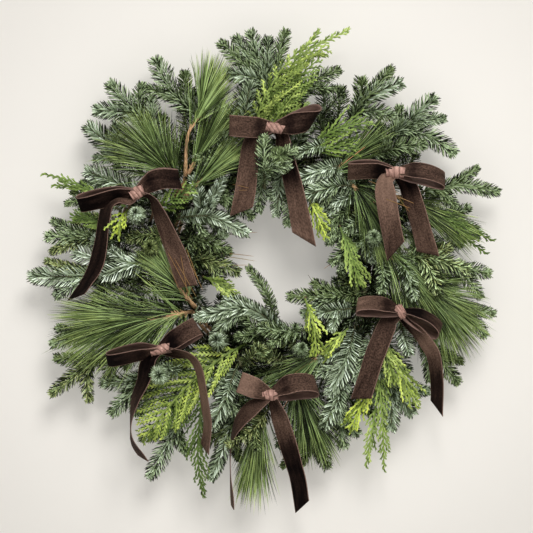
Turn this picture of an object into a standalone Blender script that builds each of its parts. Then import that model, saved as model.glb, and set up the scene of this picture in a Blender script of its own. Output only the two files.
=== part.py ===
"""A fresh evergreen wreath: fir, pine and cedar sprays wired to a box wreath frame, with six velvet bows.

The wreath hangs upright. +X is its right, +Z is up and its face looks along -Y.
The origin is where a nail bears on it, under the top of the frame's outer back ring.
Lengths are in millimetres and angles in degrees, turned into metres and radians where Blender needs them.
A place on the wreath is (x, z, forward): x and z from the ring's centre, forward from the back rings.
"""

import math
from collections import namedtuple

import bmesh
import bpy
from mathutils import Matrix, Vector

MM = 0.001
FACING = Vector((0.0, -1.0, 0.0))

# the gap that pieces keep where they touch, and how far a cutter is grown to leave it
SEAT = 0.3
TRIM = 0.55

# points this close are one point, and edges this short are dropped
SAME_POINT = 0.01
SHORTEST_EDGE = 0.002

# the box frame
RING_WIRE = 2.6
FRONT_OUTER_RADIUS = 152.4
FRONT_INNER_RADIUS = 102.0
BACK_OUTER_RADIUS = 140.0
BACK_INNER_RADIUS = 114.0
FRAME_DEPTH = 12.0
RING_SEGMENTS = 48
RING_SIDES = 6
BRACES = 4
FIRST_BRACE = 45.0
BRACE_FLOOR = RING_WIRE + 0.5
BRACE_BEND_OUT = 4.0
BRACE_BEND_UP = 2.4

# the wire that binds the stems into the frame: its front runs lie midway between the exits
BINDING_WIRE = 0.8
TURNS = 24
TURN_ANGLE = 360.0 / TURNS
WIRE_GAP = 0.45
BINDING_STANDOFF = RING_WIRE / 2 + BINDING_WIRE / 2 + WIRE_GAP

# how far round the ring the binding wire moves on, in degrees: at each bend's steps, where it meets the two
# back rings, and how far short of the next run it comes up again
BEND_LEAD = 0.8
BACK_OUTER_LEAD = 5.0
BACK_INNER_LEAD = 9.0
FRONT_INNER_SHORT = 2.4
FRONT_BEND_STEPS = 3

# the cut stems lie side by side in the frame, just under the front runs of the binding wire
STEM = 4.4
STEM_FORWARD = FRAME_DEPTH + BINDING_STANDOFF - BINDING_WIRE / 2 - SEAT - STEM / 2
LANES = (126.5, 121.0, 132.0, 115.5, 137.5, 110.0, 143.0)
LANE_MARGIN = 1.5
TAIL_STEP = 7.0
TAIL_STEPS = 3
EXIT_RUN = 6.0
EXIT_FORWARD = STEM_FORWARD + 4.6
SPRAY_SIDES = 6
SPRAY_STEPS = 4

# the ribbon bows
RIBBON = 25.0
RIBBON_THICKNESS = 1.4
GATHER = 0.55
KNOT_SIZE = (19.0, 13.0, 15.0)
KNOT_ROUND = 3.5
LOOP_PUFF = 17.0
TIE_WIRE = 0.8
TIE_BACK_GAP = SEAT + 0.1
TIE_CLEARANCE = 3.5
TIE_HOOK = (60, 0, -60, -120, -180, -240)
TIE_HOOK_STEP = 60

# where the nail bears: the frame's outer back ring rests its underside on it
HANG_RADIUS = BACK_OUTER_RADIUS - RING_WIRE / 2

# how wide and thick a spray is along its foliage: (way along, share of full width, share of thickness)
FIR_FORM = ((0.0, 0.28, 0.45), (0.22, 0.85, 0.85), (0.5, 1.0, 1.0), (0.78, 0.8, 0.85), (1.0, 0.22, 0.35))
PINE_FORM = ((0.0, 0.16, 0.3), (0.25, 0.5, 0.65), (0.55, 0.9, 1.0), (0.85, 1.0, 0.9), (1.0, 0.6, 0.5))
CEDAR_FORM = ((0.0, 0.15, 0.6), (0.25, 0.75, 1.0), (0.55, 1.0, 1.0), (0.8, 0.7, 0.9), (1.0, 0.12, 0.6))
THICKNESS = {"fir": 10.0, "pine": 11.0, "cedar": 5.0}
FORMS = {"fir": FIR_FORM, "pine": PINE_FORM, "cedar": CEDAR_FORM}

# half the foliage's width, then where it starts over the frame, its middle and its tip
Spray = namedtuple("Spray", "kind half_width base middle tip")
SPRAYS = (
    Spray("fir", 22, (-88, 166, 26), (-122, 200, 32), (-145, 240, 32)),
    Spray("fir", 25, (-140, 150, 26), (-172, 180, 34), (-203, 205, 32)),
    Spray("fir", 20, (-170, 112, 26), (-200, 138, 32), (-228, 160, 30)),
    Spray("fir", 27, (-176, 22, 26), (-226, 24, 34), (-276, 26, 32)),
    Spray("fir", 20, (-172, -18, 26), (-236, -22, 34), (-297, -22, 32)),
    Spray("fir", 24, (-168, -104, 26), (-222, -128, 32), (-271, -164, 30)),
    Spray("fir", 22, (-142, -124, 26), (-168, -156, 32), (-198, -188, 30)),
    Spray("fir", 20, (-98, -164, 26), (-124, -214, 34), (-151, -265, 32)),
    Spray("fir", 22, (-38, -166, 26), (-58, -218, 34), (-77, -269, 32)),
    Spray("fir", 22, (32, -170, 26), (48, -212, 32), (62, -253, 30)),
    Spray("fir", 26, (70, -150, 26), (78, -190, 34), (82, -227, 32)),
    Spray("fir", 28, (118, -124, 26), (142, -156, 32), (166, -188, 30)),
    Spray("fir", 18, (160, -80, 26), (192, -114, 32), (221, -151, 30)),
    Spray("fir", 20, (164, 48, 26), (206, 44, 36), (246, 31, 34)),
    Spray("fir", 17, (168, 78, 26), (220, 88, 34), (270, 80, 32)),
    Spray("fir", 23, (130, 138, 26), (162, 166, 34), (192, 194, 32)),
    Spray("fir", 27, (84, 160, 26), (112, 196, 34), (142, 232, 32)),
    Spray("fir", 34, (6, 170, 26), (-14, 222, 34), (-30, 277, 32)),
    Spray("fir", 19, (96, 112, 30), (64, 108, 58), (26, 92, 56)),
    Spray("fir", 18, (-124, 48, 30), (-78, 52, 58), (-32, 30, 54)),
    Spray("fir", 27, (-112, 30, 28), (-90, 66, 42), (-62, 92, 44)),
    Spray("fir", 17, (34, -118, 30), (-26, -62, 56), (-96, -72, 54)),
    Spray("fir", 17, (116, -40, 28), (70, -46, 44), (16, -46, 42)),
    Spray("fir", 23, (98, -76, 30), (86, -120, 62), (66, -162, 58)),
    Spray("fir", 22, (138, 0, 28), (186, -4, 56), (230, -12, 54)),
    Spray("fir", 20, (122, 40, 28), (106, 20, 42), (84, -6, 42)),
    Spray("fir", 22, (-112, -6, 28), (-82, -2, 42), (-44, -16, 42)),
    Spray("pine", 34, (-96, 112, 28), (-98, 168, 52), (-86, 234, 50)),
    Spray("pine", 30, (-122, 84, 28), (-148, 116, 54), (-180, 146, 52)),
    Spray("pine", 52, (-112, -62, 28), (-180, -70, 56), (-258, -78, 52)),
    Spray("pine", 26, (-14, -164, 28), (-22, -222, 50), (-32, -293, 46)),
    Spray("pine", 22, (66, -104, 30), (32, -128, 66), (-8, -154, 62)),
    Spray("pine", 46, (146, -26, 28), (196, -56, 46), (246, -92, 42)),
    Spray("pine", 22, (138, 72, 28), (186, 56, 56), (234, 36, 52)),
    Spray("pine", 24, (88, 88, 30), (108, 62, 64), (138, 30, 62)),
    Spray("cedar", 28, (-4, 150, 28), (32, 208, 50), (72, 268, 48)),
    Spray("cedar", 42, (-60, -104, 30), (-106, -152, 68), (-162, -224, 62)),
    Spray("cedar", 16, (-84, -146, 28), (-90, -214, 52), (-86, -294, 46)),
    Spray("cedar", 18, (120, -100, 28), (126, -172, 52), (122, -258, 46)),
)

# a loop is (direction, length, tilt), where a positive tilt shows its inside from below;
# a tail is the places of its middle line with the ribbon's twist there, and how much longer one edge is cut
Loop = namedtuple("Loop", "direction length tilt")
Tail = namedtuple("Tail", "run slant")
Bow = namedtuple("Bow", "x z forward turn loops tails")
BOWS = (
    Bow(-162, 78, 76, 12,
        (Loop(186, 74, -30), Loop(22, 52, 28)),
        (Tail(((-173, 70, 76, 40), (-197, 64, 76, 30), (-206, 48, 72, 20), (-210, 22, 66, 35),
               (-216, -6, 60, 55), (-226, -34, 54, 60)), -20),
         Tail(((-148, 72, 74, 70), (-138, 50, 76, 50), (-126, 26, 76, 30), (-115, -2, 74, 20),
               (-105, -32, 72, 10)), 4))),
    Bow(0, 156, 78, -8,
        (Loop(174, 53, 0), Loop(18, 56, 18)),
        (Tail(((-20, 148, 78, 35), (-30, 130, 76, 30), (-32, 106, 74, 12), (-34, 82, 72, 8),
               (-40, 54, 68, 6)), -16),
         Tail(((8, 146, 72, 20), (14, 120, 72, 25), (20, 94, 72, 25), (27, 62, 70, 20),
               (35, 20, 64, 10)), 22))),
    Bow(144, 102, 78, -6,
        (Loop(176, 54, -22), Loop(-9, 62, 24)),
        (Tail(((131, 92, 80, 15), (134, 70, 80, 10), (138, 42, 77, 18), (144, 8, 72, 18)), -20),
         Tail(((158, 90, 74, 20), (166, 66, 74, 15), (174, 36, 71, 15), (183, 4, 66, 10)), 14))),
    Bow(150, -64, 76, -30,
        (Loop(166, 52, 24), Loop(-22, 58, 26)),
        (Tail(((137, -73, 72, 10), (128, -96, 74, 15), (118, -125, 74, 20), (104, -166, 69, 15)), -10),
         Tail(((156, -74, 72, 55), (168, -93, 74, 50), (183, -116, 72, 50), (192, -138, 68, 55),
               (194, -160, 62, 58), (194, -182, 56, 58)), 14))),
    Bow(-5, -163, 76, -8,
        (Loop(164, 45, 10), Loop(7, 58, 24)),
        (Tail(((-17, -170, 76, 15), (-31, -186, 74, 30), (-44, -205, 70, 60), (-53, -226, 64, 82),
               (-54, -256, 56, 86), (-52, -298, 48, 86)), 0),
         Tail(((1, -172, 74, 20), (7, -193, 74, 25), (14, -219, 70, 30), (23, -255, 62, 30),
               (33, -300, 52, 25)), -18))),
    Bow(-137, -109, 76, 15,
        (Loop(190, 64, -30), Loop(33, 54, 6)),
        (Tail(((-150, -118, 74, 50), (-161, -140, 72, 58), (-167, -165, 68, 64), (-172, -200, 62, 78),
               (-168, -224, 56, 72), (-156, -243, 52, 74)), 6),
         Tail(((-120, -114, 76, 30), (-105, -120, 76, 50), (-95, -137, 76, 58), (-86, -164, 74, 62),
               (-81, -194, 70, 62), (-83, -226, 64, 58)), 8))),
)

# the outline of a ribbon loop from the knot and back: (share of its length, share of its puff)
LOOP_OUTLINE = ((0.0, 0.12), (0.32, 0.42), (0.72, 0.52), (0.95, 0.34), (1.0, 0.0),
                (0.94, -0.34), (0.7, -0.5), (0.32, -0.4), (0.0, -0.12))


def spot(x, z, forward):
    """A place on the wreath as a point in metres."""
    return Vector((x, -forward, z - HANG_RADIUS)) * MM


def ring_spot(radius, angle, forward):
    """A place on the wreath, by its distance and direction from the ring's centre."""
    turn = math.radians(angle)
    return spot(radius * math.cos(turn), radius * math.sin(turn), forward)


def clear_scene():
    for piece in list(bpy.data.objects):
        bpy.data.objects.remove(piece, do_unlink=True)


def new_collection(name):
    collection = bpy.data.collections.new(name)
    bpy.context.scene.collection.children.link(collection)
    return collection


def finish(name, colour, roughness, metallic=0.0):
    """A material of the piece's own."""
    material = bpy.data.materials.new(name + "_finish")
    material.use_nodes = True
    shader = material.node_tree.nodes["Principled BSDF"]
    shader.inputs["Base Color"].default_value = (*colour, 1.0)
    shader.inputs["Roughness"].default_value = roughness
    shader.inputs["Metallic"].default_value = metallic
    return material


def coated_steel(name):
    return finish(name, (0.05, 0.11, 0.06), 0.45, 0.6)


def foliage_green(name, kind):
    colours = {"fir": (0.10, 0.20, 0.13), "pine": (0.09, 0.21, 0.05), "cedar": (0.30, 0.42, 0.06)}
    return finish(name, colours[kind], 0.6)


def brown_velvet(name):
    return finish(name, (0.09, 0.05, 0.04), 0.9)


def add_piece(name, data, collection, material=None):
    piece = bpy.data.objects.new(name, data)
    collection.objects.link(piece)
    if material:
        data.materials.clear()
        data.materials.append(material)
    return piece


def add_wire(name, points, diameter, collection, material, resolution=1):
    """A round wire along straight runs between the points, with closed ends."""
    curve = bpy.data.curves.new(name, "CURVE")
    curve.dimensions = "3D"
    curve.bevel_depth = diameter / 2 * MM
    curve.bevel_resolution = resolution
    curve.use_fill_caps = True
    spline = curve.splines.new("POLY")
    spline.points.add(len(points) - 1)
    for knot, point in zip(spline.points, points):
        knot.co = (*point, 1.0)
    return add_piece(name, curve, collection, material)


def add_loft(name, stations, collection, material):
    """A closed skin through rings of corners; a station is (centre, half width, half thickness) vectors."""
    form = bmesh.new()
    rings = []
    for centre, across, through in stations:
        corners = []
        for side in range(SPRAY_SIDES):
            turn = math.tau * side / SPRAY_SIDES
            corners.append(form.verts.new(centre + across * math.cos(turn) + through * math.sin(turn)))
        rings.append(corners)
    for ring, following in zip(rings, rings[1:]):
        for side in range(SPRAY_SIDES):
            beside = (side + 1) % SPRAY_SIDES
            form.faces.new((ring[side], ring[beside], following[beside], following[side]))
    form.faces.new(rings[0])
    form.faces.new(rings[-1])
    bmesh.ops.triangulate(form, faces=form.faces)
    bmesh.ops.recalc_face_normals(form, faces=form.faces)
    mesh = bpy.data.meshes.new(name)
    form.to_mesh(mesh)
    form.free()
    return add_piece(name, mesh, collection, material)


def smooth_run(places, steps):
    """Points on a smooth curve through the places, with the given steps between two of them."""
    ends = [2 * places[0] - places[1], *places, 2 * places[-1] - places[-2]]
    run = []
    for before, start, end, after in zip(ends, ends[1:], ends[2:], ends[3:]):
        for step in range(steps):
            way = step / steps
            pull = (end - before) * way + (2 * before - 5 * start + 4 * end - after) * way ** 2
            run.append(start + (pull + (3 * start - before - 3 * end + after) * way ** 3) / 2)
    run.append(places[-1].copy())
    return run


def directions(run):
    """The direction of travel at each point of a run."""
    ahead = run[1:] + run[-1:]
    behind = run[:1] + run[:-1]
    return [(after - before).normalized() for before, after in zip(behind, ahead)]


def add_ring(name, radius, forward, collection):
    bpy.ops.mesh.primitive_torus_add(
        major_radius=radius * MM, minor_radius=RING_WIRE / 2 * MM,
        major_segments=RING_SEGMENTS, minor_segments=RING_SIDES,
        location=spot(0, 0, forward), rotation=(math.radians(90), 0, 0))
    ring = bpy.context.object
    ring.name = name
    for holder in list(ring.users_collection):
        holder.objects.unlink(ring)
    collection.objects.link(ring)
    ring.data.shade_smooth()
    ring.data.materials.append(coated_steel(name))
    return ring


def add_brace(name, angle, collection):
    """A U of wire inside the rings: down from the outer front ring, over the back rings and up again."""
    inset = RING_WIRE + SEAT
    profile = (
        (FRONT_OUTER_RADIUS - inset, FRAME_DEPTH),
        (BACK_OUTER_RADIUS + BRACE_BEND_OUT, BRACE_FLOOR + BRACE_BEND_UP),
        (BACK_OUTER_RADIUS, BRACE_FLOOR),
        (BACK_INNER_RADIUS, BRACE_FLOOR),
        (BACK_INNER_RADIUS - BRACE_BEND_OUT, BRACE_FLOOR + BRACE_BEND_UP),
        (FRONT_INNER_RADIUS + inset, FRAME_DEPTH),
    )
    points = [ring_spot(radius, angle, forward) for radius, forward in profile]
    return add_wire(name, points, RING_WIRE, collection, coated_steel(name))


def corner_arc(radius, forward, angle, start, end, steps):
    """Points round a ring's wire, from one side of it to another, for a wire that bends over it."""
    half_step = math.radians((end - start) / steps) / 2
    standoff = BINDING_STANDOFF / math.cos(half_step)
    points = []
    for step in range(steps + 1):
        side = math.radians(start + (end - start) * step / steps)
        lead = angle + BEND_LEAD * step
        out = standoff * math.cos(side)
        up = standoff * math.sin(side)
        points.append(ring_spot(radius + out, lead, forward + up))
    return points


def binding_turn(angle):
    """One turn of the binding wire: straight across the front, then back round behind to the next run."""
    back_up = angle + TURN_ANGLE - FRONT_INNER_SHORT
    return (corner_arc(FRONT_OUTER_RADIUS, FRAME_DEPTH, angle, 90, -45, FRONT_BEND_STEPS)
            + corner_arc(BACK_OUTER_RADIUS, 0, angle + BACK_OUTER_LEAD, -45, -90, 1)
            + corner_arc(BACK_INNER_RADIUS, 0, angle + BACK_INNER_LEAD, -90, -135, 1)
            + corner_arc(FRONT_INNER_RADIUS, FRAME_DEPTH, back_up, -135, -270, FRONT_BEND_STEPS))


def add_binding_wire(collection):
    """The wire spirals once round the frame and is cut behind, where its last turn would close."""
    points = []
    for turn in range(TURNS):
        points += binding_turn((turn + 0.5) * TURN_ANGLE)
    name = "binding_wire"
    last_bend = FRONT_BEND_STEPS + 1
    return add_wire(name, points[:-last_bend], BINDING_WIRE, collection, coated_steel(name), 0)


def nearest_exit(spray):
    """The middle of the gap between two front runs that the spray comes out of, and which way it leans."""
    x, z, _ = spray.base
    tip_x, tip_z, _ = spray.tip
    lean = 1 if x * (tip_z - z) - z * (tip_x - x) > 0 else -1
    angle = math.degrees(math.atan2(z, x)) - lean * EXIT_RUN
    return round(angle / TURN_ANGLE) * TURN_ANGLE, lean


def free_lane(taken, start, end, wanted):
    """The lane nearest to the wanted radius that no stem lies in along this stretch of the ring."""
    for lane in sorted(LANES, key=lambda radius: abs(radius - wanted)):
        clear = True
        for other_lane, other_start, other_end in taken:
            for turn in (-360.0, 0.0, 360.0):
                meets = start < other_end + turn + LANE_MARGIN and end > other_start + turn - LANE_MARGIN
                if lane == other_lane and meets:
                    clear = False
        if clear:
            taken.append((lane, start, end))
            return lane
    raise ValueError("the frame has no room for another stem")


def spray_stations(spray, taken):
    """The rings of corners of one spray, from its cut end in the frame to its tip."""
    angle, lean = nearest_exit(spray)
    tail = angle - lean * (EXIT_RUN + TAIL_STEP * TAIL_STEPS)
    x, z, _ = spray.base
    lane = free_lane(taken, min(tail, angle), max(tail, angle), math.hypot(x, z))
    stem = []
    for step in range(TAIL_STEPS, -1, -1):
        stem.append(ring_spot(lane, angle - lean * (EXIT_RUN + TAIL_STEP * step), STEM_FORWARD))
    stem.append(ring_spot(lane, angle, EXIT_FORWARD))
    rise = [spot(*place) for place in (spray.base, spray.middle, spray.tip)]
    shape = smooth_run([stem[-1], *rise], SPRAY_STEPS)[SPRAY_STEPS:]
    points = list(stem)
    sizes = [(STEM / 2, STEM / 2)] * len(stem)
    for way, width, thickness in FORMS[spray.kind]:
        points.append(shape[round(way * (len(shape) - 1))])
        sizes.append((spray.half_width * width, THICKNESS[spray.kind] * thickness))
    stations = []
    for point, heading, (width, thickness) in zip(points, directions(points), sizes):
        through = (FACING - heading * FACING.dot(heading)).normalized()
        stations.append((point, heading.cross(through) * width * MM, through * thickness * MM))
    return stations


def add_sprays(collection):
    """All sprays, ordered from the one nearest the wall to the one nearest the viewer."""
    taken = []
    counts = {"fir": 0, "pine": 0, "cedar": 0}
    sprays = []
    depths = {}
    for spray in SPRAYS:
        counts[spray.kind] += 1
        name = f"{spray.kind}_spray_{counts[spray.kind]:02d}"
        stations = spray_stations(spray, taken)
        sprays.append(add_loft(name, stations, collection, foliage_green(name, spray.kind)))
        depths[name] = spray.middle[2]
    return sorted(sprays, key=lambda piece: depths[piece.name])


def ribbon_strip(name, run, widths, lengthen, collection):
    """An open strip of ribbon, given thickness: run is its middle line, widths point to its right edge."""
    form = bmesh.new()
    headings = directions(run)
    rows = []
    for index, (point, width) in enumerate(zip(run, widths)):
        slant = headings[index] * (lengthen / 2 * MM if index == len(run) - 1 else 0.0)
        rows.append((form.verts.new(point - width - slant), form.verts.new(point + width + slant)))
    for (left, right), (next_left, next_right) in zip(rows, rows[1:]):
        form.faces.new((left, right, next_right, next_left))
    mesh = bpy.data.meshes.new(name)
    form.to_mesh(mesh)
    form.free()
    strip = add_piece(name, mesh, collection)
    thicken = strip.modifiers.new("ribbon_thickness", "SOLIDIFY")
    thicken.thickness = RIBBON_THICKNESS * MM
    thicken.offset = 0.0
    return strip


def loop_strip(name, bow, loop, collection):
    """A loop leaves the front of the knot, bends over and comes back to it behind."""
    turn = math.radians(loop.direction)
    along = Vector((math.cos(turn), 0.0, math.sin(turn)))
    up = Vector((-math.sin(turn), 0.0, math.cos(turn)))
    if up.z < 0:
        up = -up
    tilt = math.radians(loop.tilt)
    front = FACING * math.cos(tilt) + up * math.sin(tilt)
    edge = up * math.cos(tilt) - FACING * math.sin(tilt)
    knot = spot(bow.x, bow.z, bow.forward)
    run = []
    widths = []
    for way, puff in LOOP_OUTLINE:
        run.append(knot + (along * loop.length * way + front * LOOP_PUFF * puff) * MM)
        widths.append(edge * RIBBON / 2 * MM * (GATHER if way == 0.0 else 1.0))
    return ribbon_strip(name, run, widths, 0.0, collection)


def tail_strip(name, bow, tail, collection):
    """A tail falls from inside the knot along its run, turning about its own line."""
    places = [spot(bow.x, bow.z, bow.forward)]
    twists = [tail.run[0][3]]
    for x, z, forward, twist in tail.run:
        places.append(spot(x, z, forward))
        twists.append(twist)
    run = smooth_run(places, 2)
    widths = []
    for index, heading in enumerate(directions(run)):
        before = twists[index // 2]
        after = twists[min(index // 2 + 1, len(twists) - 1)]
        twist = (before + after) / 2 if index % 2 else before
        outward = (FACING - heading * FACING.dot(heading)).normalized()
        edge = Matrix.Rotation(math.radians(twist), 3, heading) @ outward.cross(heading)
        widths.append(edge * RIBBON / 2 * MM * (GATHER if index < 2 else 1.0))
    return ribbon_strip(name, run, widths, tail.slant, collection)


def add_bow(name, bow, collection, guides):
    """The knot with its loops and tails joined into the one ribbon."""
    bpy.ops.mesh.primitive_cube_add(size=1.0)
    knot = bpy.context.object
    width, height, depth = KNOT_SIZE
    place = Matrix.Translation(spot(bow.x, bow.z, bow.forward))
    lie = Matrix.Rotation(math.radians(-bow.turn), 4, "Y")
    scale = Matrix.Diagonal((width * MM, depth * MM, height * MM, 1.0))
    knot.data.transform(place @ lie @ scale)
    knot.name = name
    for holder in list(knot.users_collection):
        holder.objects.unlink(knot)
    collection.objects.link(knot)
    rounding = knot.modifiers.new("rounded_edges", "BEVEL")
    rounding.width = KNOT_ROUND * MM
    rounding.segments = 1
    strips = []
    for index, loop in enumerate(bow.loops):
        strips.append(loop_strip(f"{name}_loop_{index}", bow, loop, guides))
    for index, tail in enumerate(bow.tails):
        strips.append(tail_strip(f"{name}_tail_{index}", bow, tail, guides))
    join(knot, strips, "UNION")
    for strip in strips:
        bpy.data.objects.remove(strip, do_unlink=True)
    knot.data.materials.clear()
    knot.data.materials.append(brown_velvet(name))
    return knot


def tie_angle(bow):
    """Where the tie wire meets the ring: behind the knot, but clear of the binding wire's front runs."""
    angle = math.degrees(math.atan2(bow.z, bow.x))
    run = (math.floor(angle / TURN_ANGLE) + 0.5) * TURN_ANGLE
    if abs(angle - run) < TIE_CLEARANCE:
        angle = run - TIE_CLEARANCE
    return angle


def add_tie(name, bow, collection):
    """A wire from the back of the knot to the outer front ring, hooked round it."""
    angle = tie_angle(bow)
    back = bow.forward - KNOT_SIZE[2] / 2 - TIE_BACK_GAP
    points = [spot(bow.x, bow.z, back)]
    standoff = (RING_WIRE / 2 + TIE_WIRE / 2 + WIRE_GAP) / math.cos(math.radians(TIE_HOOK_STEP / 2))
    for side in TIE_HOOK:
        turn = math.radians(side)
        radius = FRONT_OUTER_RADIUS + standoff * math.cos(turn)
        points.append(ring_spot(radius, angle, FRAME_DEPTH + standoff * math.sin(turn)))
    return add_wire(name, points, TIE_WIRE, collection, coated_steel(name), 0)


def evaluated_mesh(piece):
    return bpy.data.meshes.new_from_object(piece.evaluated_get(bpy.context.evaluated_depsgraph_get()))


def grown_cutter(piece, collection):
    """A cutter of a piece's shape, grown on all sides so that what it cuts keeps a gap to the piece."""
    mesh = evaluated_mesh(piece)
    mesh.materials.clear()
    form = bmesh.new()
    form.from_mesh(mesh)
    bmesh.ops.remove_doubles(form, verts=form.verts, dist=SAME_POINT * MM)
    bmesh.ops.triangulate(form, faces=form.faces)
    bmesh.ops.recalc_face_normals(form, faces=form.faces)
    form.normal_update()
    outward = [vertex.normal.copy() for vertex in form.verts]
    for vertex, normal in zip(form.verts, outward):
        vertex.co += normal * TRIM * MM
    form.to_mesh(mesh)
    form.free()
    cutter = add_piece(piece.name + "_cutter", mesh, collection)
    cutter.matrix_world = piece.matrix_world.copy()
    cutter.hide_render = True
    cutter.display_type = "WIRE"
    return cutter


def boxes_meet(piece, other):
    for axis in range(3):
        mine = [(piece.matrix_world @ Vector(corner))[axis] for corner in piece.bound_box]
        theirs = [(other.matrix_world @ Vector(corner))[axis] for corner in other.bound_box]
        if min(mine) > max(theirs) or min(theirs) > max(mine):
            return False
    return True


def join(piece, others, operation):
    """Unite the piece with the others, or cut them out of it, and keep its largest body."""
    for other in others:
        change = piece.modifiers.new(other.name, "BOOLEAN")
        change.operation = operation
        change.solver = "EXACT"
        change.object = other
    mesh = evaluated_mesh(piece)
    piece.modifiers.clear()
    piece.data = mesh
    keep_largest_body(mesh)


def keep_largest_body(mesh):
    """Drop the crumbs that a cut leaves beside a piece."""
    form = bmesh.new()
    form.from_mesh(mesh)
    bmesh.ops.triangulate(form, faces=form.faces)
    bmesh.ops.dissolve_degenerate(form, edges=form.edges, dist=SHORTEST_EDGE * MM)
    bodies = []
    for vertex in form.verts:
        vertex.tag = False
    for start in form.verts:
        if start.tag:
            continue
        start.tag = True
        body = [start]
        for vertex in body:
            for edge in vertex.link_edges:
                beside = edge.other_vert(vertex)
                if not beside.tag:
                    beside.tag = True
                    body.append(beside)
        bodies.append(body)
    largest = max(bodies, key=len)
    for body in bodies:
        if body is not largest:
            bmesh.ops.delete(form, geom=body, context="VERTS")
    form.to_mesh(mesh)
    form.free()


def trim_sprays(sprays, bows, ties, cutters):
    """Each spray gives way to whatever lies over it, as soft foliage does."""
    solid = [grown_cutter(piece, cutters) for piece in bows + ties]
    sprayed = [grown_cutter(piece, cutters) for piece in sprays]
    bpy.context.view_layer.update()
    for index, spray in enumerate(sprays):
        over = [cutter for cutter in sprayed[index + 1:] + solid if boxes_meet(spray, cutter)]
        join(spray, over, "DIFFERENCE")
    for cutter in solid + sprayed:
        bpy.data.objects.remove(cutter, do_unlink=True)


def build():
    clear_scene()
    wreath = new_collection("evergreen_wreath")
    cutters = new_collection("wreath_cutters")
    add_ring("front_outer_ring", FRONT_OUTER_RADIUS, FRAME_DEPTH, wreath)
    add_ring("front_inner_ring", FRONT_INNER_RADIUS, FRAME_DEPTH, wreath)
    add_ring("back_outer_ring", BACK_OUTER_RADIUS, 0.0, wreath)
    add_ring("back_inner_ring", BACK_INNER_RADIUS, 0.0, wreath)
    for index in range(BRACES):
        add_brace(f"frame_brace_{index + 1}", FIRST_BRACE + index * 360.0 / BRACES, wreath)
    add_binding_wire(wreath)
    bows = []
    ties = []
    for index, bow in enumerate(BOWS):
        bows.append(add_bow(f"velvet_bow_{index + 1}", bow, wreath, cutters))
        ties.append(add_tie(f"bow_tie_{index + 1}", bow, wreath))
    sprays = add_sprays(wreath)
    trim_sprays(sprays, bows, ties, cutters)


build()
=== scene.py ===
"""The looks of a fresh evergreen wreath: needled fir, pine and cedar, velvet bows and the enamelled frame.

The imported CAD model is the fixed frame. A place on the wreath is (x, z, forward) in millimetres: x and z from
the centre of the frame's rings and forward from the back rings, so that +forward looks out from the wall.
Each spray and bow repeats the route that its CAD node has, and stands for that node.
"""

import math
import zlib
from collections import namedtuple

import bpy
import numpy as np
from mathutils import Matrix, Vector
from mathutils.bvhtree import BVHTree

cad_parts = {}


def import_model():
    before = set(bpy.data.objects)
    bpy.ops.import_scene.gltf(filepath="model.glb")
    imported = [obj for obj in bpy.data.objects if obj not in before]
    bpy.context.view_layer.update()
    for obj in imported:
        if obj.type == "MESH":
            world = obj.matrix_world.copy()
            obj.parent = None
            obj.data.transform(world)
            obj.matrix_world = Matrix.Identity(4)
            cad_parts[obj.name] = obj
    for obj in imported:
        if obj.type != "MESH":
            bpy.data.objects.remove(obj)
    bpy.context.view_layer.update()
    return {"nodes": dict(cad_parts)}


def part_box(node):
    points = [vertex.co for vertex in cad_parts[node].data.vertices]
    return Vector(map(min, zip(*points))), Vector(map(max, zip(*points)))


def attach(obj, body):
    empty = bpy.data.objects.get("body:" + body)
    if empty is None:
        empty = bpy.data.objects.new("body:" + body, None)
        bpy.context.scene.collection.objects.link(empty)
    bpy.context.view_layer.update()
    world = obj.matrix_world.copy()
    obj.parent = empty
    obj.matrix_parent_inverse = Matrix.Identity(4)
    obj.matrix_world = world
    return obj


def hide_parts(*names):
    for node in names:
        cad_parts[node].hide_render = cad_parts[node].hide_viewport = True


MM = 0.001
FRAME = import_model()
RING_LOW, RING_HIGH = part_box("back_outer_ring")
CENTRE = (RING_LOW + RING_HIGH) / 2
OUT = np.array((0.0, 0.0, 1.0))
UPWARD = np.array((0.0, 1.0, 0.0))

# ---------------------------------------------------------------- places, objects and camera

CAMERA_DISTANCE = 3.6
VIEW_WIDTH = 0.640
VIEW_CENTRE = (-10.0, -10.0, 45.0)
SENSOR = 36.0


def world(places):
    """Places on the wreath as points in metres in the frame of the CAD."""
    places = np.asarray(places, float)
    x = CENTRE.x + places[..., 0] * MM
    y = CENTRE.y - places[..., 2] * MM
    z = CENTRE.z + places[..., 1] * MM
    return np.stack((x, y, z), -1)


def add_object(name, data):
    thing = bpy.data.objects.new(name, data)
    bpy.context.scene.collection.objects.link(thing)
    return thing


def add_mesh(name, points, faces, slots, layers, materials):
    """A smooth object from arrays of places, faces, their material slots and texture places by layer name."""
    mesh = bpy.data.meshes.new(name)
    mesh.vertices.add(len(points))
    mesh.vertices.foreach_set("co", world(points).astype(np.float32).ravel())
    mesh.loops.add(faces.size)
    mesh.loops.foreach_set("vertex_index", faces.astype(np.int32).ravel())
    mesh.polygons.add(len(faces))
    mesh.polygons.foreach_set("loop_start", np.arange(0, faces.size, faces.shape[1], dtype=np.int32))
    mesh.polygons.foreach_set("material_index", slots)
    mesh.update(calc_edges=True)
    for layer_name, places in layers.items():
        layer = mesh.uv_layers.new(name=layer_name)
        layer.uv.foreach_set("vector", places[faces.ravel()].astype(np.float32).ravel())
    for material in materials:
        mesh.materials.append(material)
    return add_object(name, mesh)


def add_camera():
    data = bpy.data.cameras.new("camera")
    data.sensor_width = SENSOR
    data.lens = SENSOR * CAMERA_DISTANCE / VIEW_WIDTH
    camera = add_object("camera", data)
    camera.location = Vector(world(VIEW_CENTRE)) + Vector((0.0, -CAMERA_DISTANCE, 0.0))
    camera.rotation_euler = (math.radians(90), 0, 0)
    bpy.context.scene.camera = camera


add_camera()

# ---------------------------------------------------------------- tables

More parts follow.
